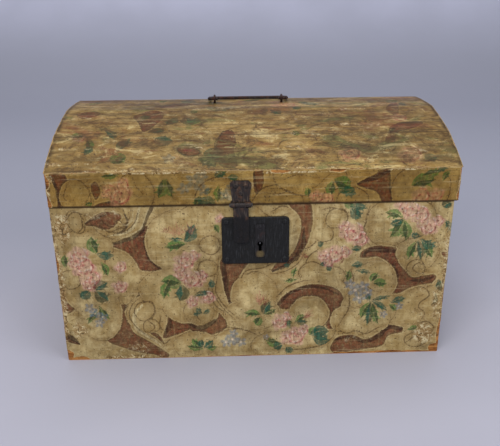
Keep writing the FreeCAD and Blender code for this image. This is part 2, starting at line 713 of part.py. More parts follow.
def wrap_outline(half_wide):
    """Plan of a sheet over one long side that folds round both corners, side at y = 0."""
    inner = half_wide
    outer = f"({half_wide} + sizes.paper_thick)"
    round_ = "sizes.corner_round"
    outer_round = "(sizes.corner_round + sizes.paper_thick)"
    skin = "-sizes.paper_thick"
    wrap = "sizes.paper_wrap - sizes.paper_thick"
    corners = [
        (f"-{outer}", wrap), (f"-{outer}", round_), (f"-{inner} + {round_}", skin),
        (f"{inner} - {round_}", skin), (outer, round_), (outer, wrap),
        (inner, wrap), (inner, round_), (f"{inner} - {round_}", "0"),
        (f"-{inner} + {round_}", "0"), (f"-{inner}", round_), (f"-{inner}", wrap),
    ]
    bends = {1: outer_round, 3: outer_round, 7: f"-{round_}", 9: f"-{round_}"}
    return corners, bends


def chest_wrap(label, y, turn, tools):
    """Front or back sheet of the chest."""
    corners, bends = wrap_outline("sizes.chest_width / 2")
    body = padded_outline(f"{label}_blank", "XY_Plane", corners,
                          "sizes.chest_height - sizes.paper_hem", bends)
    place(body, y=y, z="sizes.paper_hem", turn=turn)
    keep(cut_away(label, body, tools), label)


def chest_end_paper(side):
    """Sheet on one end between the folds of the front and back sheets."""
    low = "-sizes.chest_width / 2 - sizes.paper_thick"
    high = "-sizes.chest_width / 2"
    if side == "right":
        low, high = "sizes.chest_width / 2", "sizes.chest_width / 2 + sizes.paper_thick"
    reach = "(made.paper_back - sizes.paper_wrap)"
    sheet = make_box(f"{side}_paper", (low, high), (f"-{reach}", reach),
                     ("sizes.paper_hem", "sizes.chest_height"))
    keep(sheet, f"{side}_wallpaper")


# Lid

def lid_prism(name, spare, low, high):
    """Upright prism over the lid's plan, used to trim what crosses its corners."""
    corners, bends = rounded_corners(f"(made.lid_width / 2 + {spare})",
                                     f"(made.lid_half + {spare})",
                                     f"(sizes.corner_round + {spare})")
    body = padded_outline(name, "XY_Plane", corners, f"{high} - {low}", bends)
    return place(body, "sizes.lid_shift", "made.lid_middle", low)


def along_lid(name, corners, bends=None, spare="0", turn=None):
    """Section across the dome pushed along the whole lid; z = 0 is the dome's axis."""
    long = f"made.lid_width + 2 * {spare}"
    body = padded_outline(name, "YZ_Plane", corners, long, bends)
    far = f"made.lid_width / 2 + {spare}"
    x = f"sizes.lid_shift + {far}" if turn else f"sizes.lid_shift - ({far})"
    return place(body, x, "made.lid_middle", "made.dome_axis", turn)


HALF_TURN = Rotation(Vector(0, 0, 1), 180)


def lid_rail(side, prism, tools):
    """Front or back rail, bevelled on top to seat the edge stave."""
    half = "-made.lid_half"
    inner = "-(made.lid_half - sizes.wall_thick)"
    bottom = "made.lid_bottom - made.dome_axis"
    corners = [(half, bottom), (inner, bottom), (inner, "made.under_rail_up"),
               (half, "made.under_edge_up")]
    turn = HALF_TURN if side == "back" else None
    bar = along_lid(f"lid_{side}_bar", corners, turn=turn)
    trimmed = combine("Common", f"lid_{side}_trimmed", bar, prism)
    keep(cut_away(f"lid_{side}_rail", trimmed, tools), f"lid_{side}_rail")


def edge_stave(side, prism, tools):
    """Front or back stave: one radial joint, the other edge trimmed upright."""
    corners = [("-made.lid_half", "made.under_edge_up"),
               ("-made.under_joint_out", "made.under_joint_up"),
               ("-made.joint_out", "made.joint_up"),
               ("-made.lid_half", "made.edge_up")]
    turn = HALF_TURN if side == "back" else None
    bar = along_lid(f"{side}_stave_bar", corners, {2: "made.edge_curve"}, turn=turn)
    trimmed = combine("Common", f"{side}_stave_trimmed", bar, prism)
    number = 1 if side == "front" else 5
    keep(cut_away(f"dome_stave_{number}", trimmed, tools), f"dome_stave_{number}")


def middle_stave(number, tools):
    """One of the three middle staves: two radial joints, crowned over, flat under."""
    half = "(made.stave_angle / 2)"
    out = f"made.dome_radius * sin({half})"
    up = f"made.dome_radius * cos({half})"
    under_out = f"made.under_radius * sin({half})"
    under_up = f"made.under_radius * cos({half})"
    corners = [(f"-{under_out}", under_up), (under_out, under_up), (out, up), (f"-{out}", up)]
    bar = along_lid(f"stave_{number}_bar", corners, {2: "made.stave_curve"})
    if number != 3:
        bar.Placement = Placement(bar.Placement.Base, Rotation(Vector(1, 0, 0), 3 - number))
        bar.setExpression("Placement.Rotation.Angle", f"{3 - number} * made.stave_angle")
    keep(cut_away(f"dome_stave_{number}", bar, tools), f"dome_stave_{number}")


def dome_corners(radius, edge_out, edge_up):
    """Six points of the dome's section from the front edge over to the back."""
    half = "(made.stave_angle / 2)"
    side = [(edge_out, edge_up),
            (f"{radius} * sin(made.joint_angle)", f"{radius} * cos(made.joint_angle)"),
            (f"{radius} * sin{half}", f"{radius} * cos{half}")]
    front = [(f"-({out})", up) for out, up in side]
    return front + side[::-1]


def lid_end(side, tools):
    """Arched end board under the staves, cut as a polygon to seat their flats."""
    half = "(made.stave_angle / 2)"
    inner = "(made.lid_half - sizes.wall_thick)"
    bottom = "made.lid_bottom - made.dome_axis"
    right = [(inner, bottom), (inner, "made.under_rail_up"),
             ("made.under_joint_out", "made.under_joint_up"),
             (f"made.under_radius * sin{half}", f"made.under_radius * cos{half}")]
    corners = right + [(f"-({out})", up) for out, up in right[::-1]]
    body = padded_outline(f"lid_{side}_arch", "YZ_Plane", corners, "sizes.wall_thick")
    far = "sizes.lid_shift - made.lid_width / 2"
    if side == "right":
        far = "sizes.lid_shift + made.lid_width / 2 - sizes.wall_thick"
    place(body, far, "made.lid_middle", "made.dome_axis")
    keep(cut_away(f"lid_{side}_end", body, tools), f"lid_{side}_end")


def dome_wallpaper(eye_holes):
    """Sheet over all the staves, trimmed to the plan of the papered lid."""
    under = dome_corners("made.dome_radius", "made.lid_half", "made.edge_up")
    skin = "(made.lid_half + sizes.paper_thick)"
    over = dome_corners("made.skin_radius", skin, "made.skin_edge_up")
    rim = [(skin, "made.band_paper_up")]
    corners = over + rim + under[::-1] + [(f"-{skin}", "made.band_paper_up")]
    curve = "made.stave_curve"
    skin_curve = "made.skin_curve"
    edge = "made.edge_curve"
    bends = {0: "-made.skin_edge_curve", 1: f"-{skin_curve}", 2: f"-{skin_curve}",
             3: f"-{skin_curve}", 4: "-made.skin_edge_curve",
             7: edge, 8: curve, 9: curve, 10: curve, 11: edge}
    sheet = along_lid("dome_sheet", corners, bends, "sizes.paper_thick")
    prism = lid_prism("paper_prism", "sizes.paper_thick", "made.lid_bottom",
                      "(made.apex + sizes.wall_thick)")
    trimmed = combine("Common", "dome_sheet_trimmed", sheet, prism)
    keep(cut_away("dome_wallpaper", trimmed, eye_holes), "dome_wallpaper")


def lid_band_paper(side, tools):
    """Sheet on the front or back of the lid's band, folded round both corners."""
    corners, bends = wrap_outline("made.lid_width / 2")
    tall = "made.dome_axis + made.band_paper_up - made.lid_bottom"
    body = padded_outline(f"lid_{side}_sheet", "XY_Plane", corners, tall, bends)
    y = "made.lid_middle - made.lid_half"
    turn = None
    if side == "back":
        y = "made.lid_middle + made.lid_half"
        turn = HALF_TURN
    place(body, "sizes.lid_shift", y, "made.lid_bottom", turn)
    keep(cut_away(f"lid_{side}_wallpaper", body, tools), f"lid_{side}_wallpaper")


def lid_end_paper(side):
    """Sheet on one end of the lid up to the dome, between the folded sheets."""
    fold = "(made.lid_half + sizes.paper_thick - sizes.paper_wrap)"
    bottom = "made.lid_bottom - made.dome_axis"
    under = dome_corners("made.dome_radius", "made.lid_half", "made.edge_up")
    corners = under + [("made.lid_half", "made.band_paper_up"),
                       (fold, "made.band_paper_up"), (fold, bottom),
                       (f"-{fold}", bottom), (f"-{fold}", "made.band_paper_up"),
                       ("-made.lid_half", "made.band_paper_up")]
    bends = {0: "-made.edge_curve", 1: "-made.stave_curve", 2: "-made.stave_curve",
             3: "-made.stave_curve", 4: "-made.edge_curve"}
    body = padded_outline(f"lid_{side}_sheet", "YZ_Plane", corners, "sizes.paper_thick", bends)
    far = "sizes.lid_shift - made.lid_width / 2 - sizes.paper_thick"
    if side == "right":
        far = "sizes.lid_shift + made.lid_width / 2"
    place(body, far, "made.lid_middle", "made.dome_axis")
    keep(body, f"lid_{side}_wallpaper")


# Hinges

def hinge_leaf(side, upper):
    """Leaf nailed to the back, with one middle knuckle above or two outer ones below."""
    label = f"{side}_hinge_{'upper' if upper else 'lower'}_leaf"
    sign = "-" if side == "left" else ""
    middle = f"({sign}sizes.hinge_from_middle)"
    half = "(sizes.hinge_wide / 2)"
    third = "(sizes.hinge_wide / 6)"
    clear = "(sizes.knuckle_radius + sizes.running_gap)"
    round_ = "sizes.leaf_round"
    if upper:
        tall = "sizes.upper_leaf_tall"
        tab = f"({third} - sizes.running_gap)"
        corners = [(f"-{tab}", "0"), (tab, "0"), (tab, clear), (half, clear),
                   (half, f"{tall} - {round_}"), (f"{half} - {round_}", tall),
                   (f"-{half} + {round_}", tall), (f"-{half}", f"{tall} - {round_}"),
                   (f"-{half}", clear), (f"-{tab}", clear)]
        bends = {4: round_, 6: round_}
        knuckles = [(f"-{tab}", f"2 * {tab}")]
    else:
        tall = "(-sizes.lower_leaf_tall)"
        corners = [(f"-{half}", "0"), (f"-{half}", f"{tall} + {round_}"),
                   (f"-{half} + {round_}", tall), (f"{half} - {round_}", tall),
                   (half, f"{tall} + {round_}"), (half, "0"), (third, "0"),
                   (third, f"-{clear}"), (f"-{third}", f"-{clear}"), (f"-{third}", "0")]
        bends = {1: round_, 3: round_}
        knuckles = [(f"-{half}", f"{half} - {third}"), (third, f"{half} - {third}")]
    blank = padded_outline(f"{label}_blank", "XZ_Plane", corners, "sizes.leaf_thick", bends)
    place(blank, middle, "made.paper_back + sizes.leaf_thick", "made.hinge_line")
    rolls = [make_cylinder(f"{label}_roll_{number}", "sizes.knuckle_radius", length,
                           f"{middle} + {start}", "made.hinge_out", "made.hinge_line", ALONG_X)
             for number, (start, length) in enumerate(knuckles)]
    bore = make_cylinder(f"{label}_bore", "sizes.hinge_pin_radius + sizes.pin_play",
                         "sizes.hinge_wide + 2 * sizes.running_gap",
                         f"{middle} - {half} - sizes.running_gap",
                         "made.hinge_out", "made.hinge_line", ALONG_X)
    holes = upper_holes if upper else lower_holes
    keep(cut_away(label, join_all(f"{label}_solid", [blank] + rolls), [bore, holes]), label)


def hinge_pin(side):
    """Pin through three knuckles with a head at each end."""
    sign = "-" if side == "left" else ""
    start = f"{sign}sizes.hinge_from_middle - sizes.hinge_wide / 2"
    keep(headed_pin(f"{side}_hinge_pin", "sizes.hinge_pin_radius", "sizes.hinge_wide",
                    start, "made.hinge_out", "made.hinge_line"), f"{side}_hinge_pin")


def headed_pin(name, radius, long, x, y, z):
    """Pin along X with an upset head outside each end knuckle."""
    bar = make_cylinder(f"{name}_bar", radius, long, x, y, z, ALONG_X)
    heads = []
    for number, at in enumerate((f"{x} - sizes.pin_head_thick", f"{x} + {long}")):
        heads.append(make_facet_bar(f"{name}_head_{number}", 8,
                                    f"{radius} * sizes.pin_head_flare",
                                    "sizes.pin_head_thick", at, y, z, ALONG_X))
    return join_all(f"{name}_solid", [bar] + heads)


# Lock

def keyhole(name):
    """Keyhole tool through plate and strip: a round with a slot under it."""
    round_ = make_cylinder(f"{name}_round", "sizes.key_round",
                           "sizes.lock_thick + sizes.escutcheon_thick",
                           "made.key_x", "made.paper_front", "made.key_up", TO_BACK)
    slot = make_box(f"{name}_slot",
                    ("made.key_x - sizes.key_slot_wide / 2",
                     "made.key_x + sizes.key_slot_wide / 2"),
                    ("made.lock_face - sizes.escutcheon_thick", "made.paper_front"),
                    ("made.key_up - sizes.key_slot_drop", "made.key_up"))
    return combine("Fuse", name, round_, slot)


def rivet_spots():
    """Centres of the two rivets of the escutcheon."""
    return [("made.key_x", "made.key_up + sizes.escutcheon_above - sizes.rivet_inset"),
            ("made.key_x", "made.key_up - sizes.escutcheon_below + sizes.rivet_low_inset")]


def rivets(name, radius, front, long):
    """Two hammered bars along Y at the rivets' places."""
    return [make_facet_bar(f"{name}_{number}", 8, radius, long, x, front, z, TO_FRONT)
            for number, (x, z) in enumerate(rivet_spots())]


def lock_plate(hole, rivet_holes):
    """Bevelled iron plate with keyhole, staple slot and nail holes."""
    blank = flat_plate("lock_plate_blank", "(sizes.lock_wide / 2)", "made.lock_low",
                       "made.lock_top", "sizes.lock_thick", "sizes.lock_round")
    bevel_flats(blank, Vector(0, -1, 0), "sizes.lock_bevel")
    place(blank, "sizes.lock_offset", "made.paper_front",
          "(made.lock_top + made.lock_low) / 2")
    slot = make_box("staple_slot", STAPLE_X, ("made.lock_face", "made.paper_front"),
                    ("made.bolt_up - sizes.slot_below", "made.lock_top"))
    tools = [hole, slot, lock_holes] + rivet_holes
    keep(cut_away("lock_plate", blank, tools), "lock_plate")


def keyhole_escutcheon(hole, rivet_holes):
    """Raised strip round the keyhole."""
    blank = flat_plate("escutcheon_blank", "(sizes.escutcheon_wide / 2)",
                       "made.key_up - sizes.escutcheon_below",
                       "made.key_up + sizes.escutcheon_above",
                       "sizes.escutcheon_thick", "sizes.escutcheon_round")
    place(blank, "made.key_x", "made.lock_face")
    keep(cut_away("keyhole_escutcheon", blank, [hole] + rivet_holes), "keyhole_escutcheon")


def escutcheon_rivets():
    """Two rivets with low heads over the strip."""
    long = "sizes.lock_thick + sizes.escutcheon_thick"
    bars = rivets("rivet_bar", "sizes.rivet_radius",
                  "made.lock_face - sizes.escutcheon_thick", long)
    heads = rivets("rivet_head", "sizes.rivet_head",
                   "made.lock_face - sizes.escutcheon_thick - sizes.rivet_head_thick",
                   "sizes.rivet_head_thick")
    solids = [combine("Fuse", f"rivet_{number}", bar, head)
              for number, (bar, head) in enumerate(zip(bars, heads))]
    keep(group("escutcheon_rivets", solids), "escutcheon_rivets")


def lock_case():
    """Sheet-iron tray behind the plate, with the stump that guides the bolt."""
    half = "sizes.case_wide / 2"
    wall = "sizes.case_wall"
    outer = make_box("case_outer", (f"made.case_x - {half}", f"made.case_x + {half}"),
                     ("made.paper_front", "made.case_back"), ("made.case_low", "made.case_top"))
    inner = make_box("case_inner", (f"made.case_x - {half} + {wall}",
                                    f"made.case_x + {half} - {wall}"),
                     ("made.paper_front", "made.case_floor"),
                     (f"made.case_low + {wall}", f"made.case_top - {wall}"))
    notch = make_box("case_notch", STAPLE_X, ("made.paper_front", "made.channel_back"),
                     (f"made.case_top - {wall}", "made.case_top"))
    tray = cut_away("case_tray", outer, [inner, notch])
    stump = make_facet_bar("case_stump", 12, "sizes.stump_radius",
                           "made.case_floor - made.paper_front",
                           "made.stump_x", "made.paper_front", "made.stump_up", TO_FRONT)
    collar = make_facet_bar("case_collar", 12, "sizes.stump_collar",
                            "made.case_floor - made.bolt_back - sizes.running_gap",
                            "made.stump_x", "made.bolt_back + sizes.running_gap",
                            "made.stump_up", TO_FRONT)
    keep(join_all("lock_case", [tray, stump, collar]), "lock_case")


def drill_pin():
    """Pin in the middle of the keyhole that a hollow key turns on."""
    start = "made.lock_face + sizes.lock_thick / 2"
    pin = make_facet_bar("drill_pin", 12, "sizes.drill_pin_radius",
                         f"made.case_floor - ({start})",
                         "made.key_x", start, "made.key_up", TO_FRONT)
    keep(pin, "lock_drill_pin")


def bolt_spring():
    """Bowed leaf spring between the case's top and the bolt."""
    top = "made.case_top - sizes.case_wall - made.bolt_up"
    low = f"(({top}) - sizes.talon_half - sizes.running_gap - sizes.spring_thick)"
    half = "(sizes.talon_long / 2 + 1)"
    curve = f"({half}^2 + {low}^2) / (2 * {low})"
    corners = [(f"-{half}", top), (f"-{half}", f"{top} - sizes.spring_thick"),
               (half, f"{top} - sizes.spring_thick"), (half, top)]
    body = padded_outline("spring_strip", "XZ_Plane", corners, "sizes.spring_wide",
                          {1: curve, 3: f"-({curve})"})
    place(body, "made.talon_left + sizes.talon_long / 2",
          "made.bolt_front + sizes.spring_wide", "made.bolt_up")
    keep(body, "lock_spring")


def lock_bolt():
    """Sliding bolt: narrow head, deep talon with a key notch and a slot on the stump."""
    tip = "made.bolt_tip"
    left = "made.talon_left"
    right = "made.talon_right"
    bar = "(sizes.bolt_tall / 2)"
    deep = "sizes.talon_half"
    notch = "made.notch_x"
    wide = "sizes.talon_notch / 2"
    roof = f"-{deep} + sizes.talon_notch_deep"
    corners = [(tip, f"-{bar}"), (left, f"-{bar}"), (left, f"-{deep}"),
               (f"{notch} - {wide}", f"-{deep}"), (f"{notch} - {wide}", roof),
               (f"{notch} + {wide}", roof), (f"{notch} + {wide}", f"-{deep}"),
               (right, f"-{deep}"), (right, deep), (left, deep), (left, bar), (tip, bar)]
    body = padded_outline("bolt_blank", "XZ_Plane", corners, "sizes.bolt_thick")
    place(body, y="made.bolt_back", z="made.bolt_up")
    side = "sizes.stump_radius + sizes.running_gap"
    slot = make_box("bolt_slot", (f"made.stump_x - ({side})",
                                  f"made.stump_x + {side} + sizes.bolt_throw"),
                    ("made.bolt_front", "made.bolt_back"),
                    (f"made.stump_up - ({side})", f"made.stump_up + {side}"))
    keep(combine("Cut", "lock_bolt_solid", body, slot), "lock_bolt")


# Hasp

HASP_THIRD = "(sizes.hasp_wide / 4)"


def hasp_bore(name):
    """Bore for the hasp's pin."""
    half = "(sizes.hasp_wide / 2)"
    return make_cylinder(name, "sizes.hasp_pin_radius + sizes.pin_play",
                         "sizes.hasp_wide + 2 * sizes.running_gap",
                         f"made.hasp_x - {half} - sizes.running_gap",
                         "made.hasp_out", "made.hasp_up", ALONG_X)


def hasp_roll(name, start, long):
    """One knuckle of the hasp's hinge, from an x measured off the hasp's middle."""
    return make_cylinder(name, "sizes.hasp_knuckle", long, f"made.hasp_x + {start}",
                         "made.hasp_out", "made.hasp_up", ALONG_X)


def hasp_plate():
    """Waisted plate on the lid with two outer knuckles."""
    half = "(sizes.hasp_wide / 2)"
    waist = "(sizes.hasp_waist / 2)"
    rise = "sizes.hasp_waist_rise"
    tall = "sizes.hasp_plate_tall"
    clip = "sizes.hasp_corner"
    clear = "(sizes.hasp_knuckle + sizes.running_gap)"
    right = [(HASP_THIRD, clear), (HASP_THIRD, "0"), (half, "0"), (half, "sizes.hasp_knuckle"),
             (waist, rise), (half, f"{tall} - 2 * {clip}"), (half, f"{tall} - {clip}"),
             (f"{half} - {clip}", tall)]
    corners = right + [(f"-({across})", up) for across, up in right[::-1]]
    blank = padded_outline("hasp_plate_blank", "XZ_Plane", corners, "sizes.hasp_plate_thick")
    place(blank, "made.hasp_x", "made.lid_front", "made.hasp_up")
    long = f"{half} - {HASP_THIRD}"
    rolls = [hasp_roll("plate_roll_left", f"(-{half})", long),
             hasp_roll("plate_roll_right", HASP_THIRD, long)]
    solid = join_all("hasp_plate_solid", [blank] + rolls)
    keep(cut_away("hasp_plate", solid, [hasp_bore("plate_bore"), hasp_holes]), "hasp_plate")


def hasp_strap(leg_holes):
    """Strap that hangs over the lock plate from the middle knuckle."""
    neck = f"({HASP_THIRD} - sizes.running_gap)"
    half = "(sizes.strap_wide / 2)"
    clear = "-(sizes.hasp_knuckle + sizes.running_gap)"
    low = "made.strap_low - made.hasp_up"
    round_ = "sizes.strap_round"
    right = [(neck, "0"), (neck, clear), (half, clear), (half, f"{low} + {round_}"),
             (f"{half} - {round_}", low)]
    corners = right + [(f"-({across})", up) for across, up in right[::-1]]
    blank = padded_outline("hasp_strap_blank", "XZ_Plane", corners, "sizes.strap_thick",
                           {3: f"-{round_}", 5: f"-{round_}"})
    place(blank, "made.hasp_x", "made.strap_back", "made.hasp_up")
    roll = hasp_roll("strap_roll", f"(-{neck})", f"2 * {neck}")
    solid = join_all("hasp_strap_solid", [blank, roll])
    keep(cut_away("hasp_strap", solid, [hasp_bore("strap_bore")] + leg_holes), "hasp_strap")


def staple_outline():
    """Loop from the side, open towards the strap, with a round end inside the lock."""
    half = "(sizes.staple_hole / 2)"
    outer = f"({half} + sizes.staple_leg)"
    face = "made.strap_front - sizes.staple_head"
    tip = "made.staple_tip"
    round_ = "sizes.staple_leg"
    upper = [(face, half), (face, outer), (f"{tip} - {round_}", outer),
             (tip, f"{outer} - {round_}")]
    lower = [(across, f"-({up})") for across, up in upper[::-1]]
    corners = upper + lower + [("made.loop_end", f"-{half}"), ("made.loop_end", half)]
    return corners, {2: f"-{round_}", 4: f"-{round_}"}


def hasp_staple():
    """Staple riveted through the strap, whose loop takes the bolt."""
    corners, bends = staple_outline()
    body = padded_outline("staple_loop", "YZ_Plane", corners, "sizes.staple_thick", bends)
    place(body, "made.hasp_x - sizes.staple_thick / 2", z="made.bolt_up")
    keep(body, "hasp_staple")


def staple_leg_holes():
    """Two holes in the strap that the staple's legs fill."""
    half = "(sizes.staple_hole / 2)"
    holes = []
    for name, low, high in (("upper", half, f"{half} + sizes.staple_leg"),
                            ("lower", f"-{half} - sizes.staple_leg", f"-{half}")):
        holes.append(make_box(f"staple_{name}_hole",
                              ("made.hasp_x - sizes.staple_thick / 2",
                               "made.hasp_x + sizes.staple_thick / 2"),
                              ("made.strap_front", "made.strap_back"),
                              (f"made.bolt_up + ({low})", f"made.bolt_up + ({high})")))
    return holes


def hasp_pin():
    """Pin through the hasp's three knuckles."""
    pin = headed_pin("hasp_pin", "sizes.hasp_pin_radius", "sizes.hasp_wide",
                     "made.hasp_x - sizes.hasp_wide / 2", "made.hasp_out", "made.hasp_up")
    keep(pin, "hasp_pin")


# Handle

def bail_handle():
    """Hammered iron bent into a grip, two arms and two feet turned in through the eyes."""
    arm = "made.arm_x"
    end = f"({arm} - sizes.handle_foot)"
    foot = "sizes.handle_foot_bend"
    bend = "sizes.handle_bend"
    reach = "sizes.handle_reach"
    body = doc.addObject("PartDesign::Body", "bail_bar")
    path = new_sketch(body, "XY_Plane", "bail_path")
    left = [(f"-{end}", "0"), (f"-{arm} + {foot}", "0"), (f"-{arm}", foot),
            (f"-{arm}", f"{reach} - {bend}"), (f"-{arm} + {bend}", reach)]
    right = [(f"{end}", "0"), (f"{arm} - {foot}", "0"), (arm, foot),
             (arm, f"{reach} - {bend}"), (f"{arm} - {bend}", reach)]
    draw(path, left + right[::-1], {1: f"-{foot}", 3: f"-{bend}", 5: f"-{bend}", 7: f"-{foot}"},
         closed=False)
    section = new_sketch(body, "YZ_Plane", "bail_section")
    section.setExpression("AttachmentOffset.Base.z", f"-{end}")
    draw(section, facet_corners("sizes.handle_wire", 8))
    pipe = body.newObject("PartDesign::AdditivePipe", "bail_pipe")
    pipe.Profile = section
    pipe.Spine = (path, [f"Edge{number}" for number in range(1, 10)])
    body.Placement = Placement(Vector(), Rotation(Vector(1, 0, 0), -1))
    place(body, "-sizes.handle_offset", "made.lid_middle", "made.apex + made.eye_rise",
          angle="-made.handle_lean")
    keep(body, "bail_handle")


def eye_shank(name, side, radius, top):
    """Upright bar under one eye, down through paper and stave."""
    sign = "-" if side == "left" else "+"
    return make_facet_bar(name, 8, radius, f"({top}) - made.stave_underside",
                          f"{sign}made.eye_x - sizes.handle_offset", "made.lid_middle",
                          "made.stave_underside")


def eye_ring(name, x):
    """Ring of hammered wire round the handle's foot, its hole along X."""
    body = doc.addObject("PartDesign::Body", name)
    sketch = new_sketch(body, "YZ_Plane", f"{name}_outline")
    draw(sketch, facet_corners("(made.eye_radius + sizes.eye_wire)", 12))
    draw(sketch, facet_corners("(made.eye_radius - sizes.eye_wire)", 12))
    pad = body.newObject("PartDesign::Pad", f"{name}_pad")
    pad.Profile = sketch
    pad.SideType = "Symmetric"
    pad.setExpression("Length", "2 * sizes.eye_wire")
    bevel_flats(body, Vector(1, 0, 0), "sizes.eye_wire * (2 - sqrt(2))", both=True)
    return place(body, x, "made.lid_middle", "made.apex + made.eye_rise")


def handle_eye(side):
    """Cotter: a ring, a doubled shank and two legs clinched under the stave."""
    sign = "-" if side == "left" else "+"
    x = f"({sign}made.eye_x - sizes.handle_offset)"
    ring = eye_ring(f"{side}_eye_ring", x)
    shank = eye_shank(f"{side}_eye_shank", side, "sizes.eye_shank",
                      "made.apex + sizes.eye_lift + sizes.eye_wire")
    legs = make_box(f"{side}_eye_legs", (f"{x} - sizes.eye_wire", f"{x} + sizes.eye_wire"),
                    ("made.lid_middle - sizes.eye_leg_long",
                     "made.lid_middle + sizes.eye_leg_long"),
                    ("made.stave_underside - sizes.eye_leg_thick", "made.stave_underside"))
    keep(join_all(f"{side}_handle_eye", [ring, shank, legs]), f"{side}_handle_eye")


def eye_holes():
    """Holes for the shanks of both eyes through the middle stave and the paper."""
    return [eye_shank(f"{side}_eye_hole", side, "sizes.eye_shank + sizes.nail_clear",
                      "made.apex + sizes.paper_thick") for side in ("left", "right")]


def build_chest():
    """Boards, papers and the fixed ironwork of the chest."""
    recess = [lock_mortise(), staple_channel()]
    bottom_board()
    front_board(recess)
    back_board()
    end_board("left")
    end_board("right")
    chest_wrap("front_wallpaper", "made.front", None, recess + [lock_holes])
    chest_wrap("back_wallpaper", "made.back", HALF_TURN, [lower_holes])
    chest_end_paper("left")
    chest_end_paper("right")


def build_lid():
    """Coopered lid: two rails, two arched ends, five staves and their papers."""
    prism = lid_prism("lid_prism", "0", "made.lid_bottom", "(made.apex + sizes.wall_thick)")
    lid_rail("front", prism, [rail_holes, hasp_holes])
    lid_rail("back", prism, [rail_holes, upper_holes])
    lid_end("left", [rail_holes, stave_holes])
    lid_end("right", [rail_holes, stave_holes])
    holes = eye_holes()
    edge_stave("front", prism, [stave_holes])
    middle_stave(2, [stave_holes])
    middle_stave(3, [stave_holes] + holes)
    middle_stave(4, [stave_holes])
    edge_stave("back", prism, [stave_holes])
    dome_wallpaper(holes)
    lid_band_paper("front", [hasp_holes])
    lid_band_paper("back", [upper_holes])
    lid_end_paper("left")
    lid_end_paper("right")


def build_ironwork():
    """Hinges, lock, hasp and handle."""
    for side in ("left", "right"):
        hinge_leaf(side, upper=False)
        hinge_leaf(side, upper=True)
        hinge_pin(side)
        handle_eye(side)
    hole = keyhole("keyhole")
    rivet_holes = rivets("rivet_hole", "sizes.rivet_radius",
                         "made.lock_face - sizes.escutcheon_thick",
                         "sizes.lock_thick + sizes.escutcheon_thick")
    lock_plate(hole, rivet_holes)
    keyhole_escutcheon(hole, rivet_holes)
    escutcheon_rivets()
    lock_case()
    drill_pin()
    bolt_spring()
    lock_bolt()
    hasp_plate()
    hasp_strap(staple_leg_holes())
    hasp_staple()
    hasp_pin()
    bail_handle()


def check_and_write():
    """Recompute, stop on any failed object or bad shape, then write every sub-part."""
    doc.recompute()
    for item in doc.Objects:
        if "Invalid" in item.State or "Error" in item.State:
            raise RuntimeError(f"{item.Name} failed: {item.State}")
    for item in pieces:
        if item.Shape.isNull() or not item.Shape.isValid():
            raise RuntimeError(f"{item.Label} has no valid shape")
    os.makedirs("parts", exist_ok=True)
    for item in pieces:
        item.Shape.exportStep(f"parts/{item.Label}.step")
        print(f"{item.Label:26s} {len(item.Shape.Solids):3d} solids {item.Shape.Volume:12.1f} mm3")


build_chest()
build_lid()
build_ironwork()
make_nails()
check_and_write()
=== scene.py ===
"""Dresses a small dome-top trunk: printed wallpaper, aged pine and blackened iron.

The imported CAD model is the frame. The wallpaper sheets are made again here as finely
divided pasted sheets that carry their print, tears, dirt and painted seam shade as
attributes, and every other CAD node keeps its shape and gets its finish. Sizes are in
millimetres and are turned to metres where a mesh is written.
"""

import logging
import math
from dataclasses import dataclass, field
from enum import Enum
from typing import Iterable, Sequence

import bmesh
import bpy
import numpy as np
from mathutils import Matrix, Vector


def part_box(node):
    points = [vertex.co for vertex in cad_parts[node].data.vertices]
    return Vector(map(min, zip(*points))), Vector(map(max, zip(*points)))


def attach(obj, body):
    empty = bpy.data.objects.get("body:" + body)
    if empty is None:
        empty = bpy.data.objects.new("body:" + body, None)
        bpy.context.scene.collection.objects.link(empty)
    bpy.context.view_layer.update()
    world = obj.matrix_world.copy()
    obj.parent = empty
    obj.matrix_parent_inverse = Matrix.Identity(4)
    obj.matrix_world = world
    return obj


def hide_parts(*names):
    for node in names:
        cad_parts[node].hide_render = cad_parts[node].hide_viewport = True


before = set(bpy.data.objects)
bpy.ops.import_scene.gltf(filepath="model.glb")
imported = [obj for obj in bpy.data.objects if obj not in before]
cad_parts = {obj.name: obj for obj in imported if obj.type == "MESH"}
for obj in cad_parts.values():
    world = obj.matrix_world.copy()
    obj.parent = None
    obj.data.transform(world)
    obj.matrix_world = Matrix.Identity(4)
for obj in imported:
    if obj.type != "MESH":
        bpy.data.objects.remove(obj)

log = logging.getLogger("trunk")

MM = 0.001
FAR = 9.0
Point = tuple[float, float]
Array = np.ndarray
Socket = bpy.types.NodeSocket


# Small helpers


def linear(red: float, green: float, blue: float) -> tuple[float, float, float, float]:
    """Turns a colour as seen on screen, 0 to 255, into the renderer's linear colour.

    Args:
        red: Red as seen.
        green: Green as seen.
        blue: Blue as seen.

    Returns:
        The linear colour with an alpha of one.
    """
    parts = []
    for part in (red, green, blue):
        value = part / 255.0
        parts.append(value / 12.92 if value <= 0.04045 else ((value + 0.055) / 1.055) ** 2.4)
    return (parts[0], parts[1], parts[2], 1.0)


def node_span(name: str) -> tuple[Vector, Vector]:
    """Gives a CAD node's lowest and highest corners in millimetres.

    Args:
        name: Name of the CAD node.

    Returns:
        The two corners.
    """
    low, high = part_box(name)
    return low / MM, high / MM


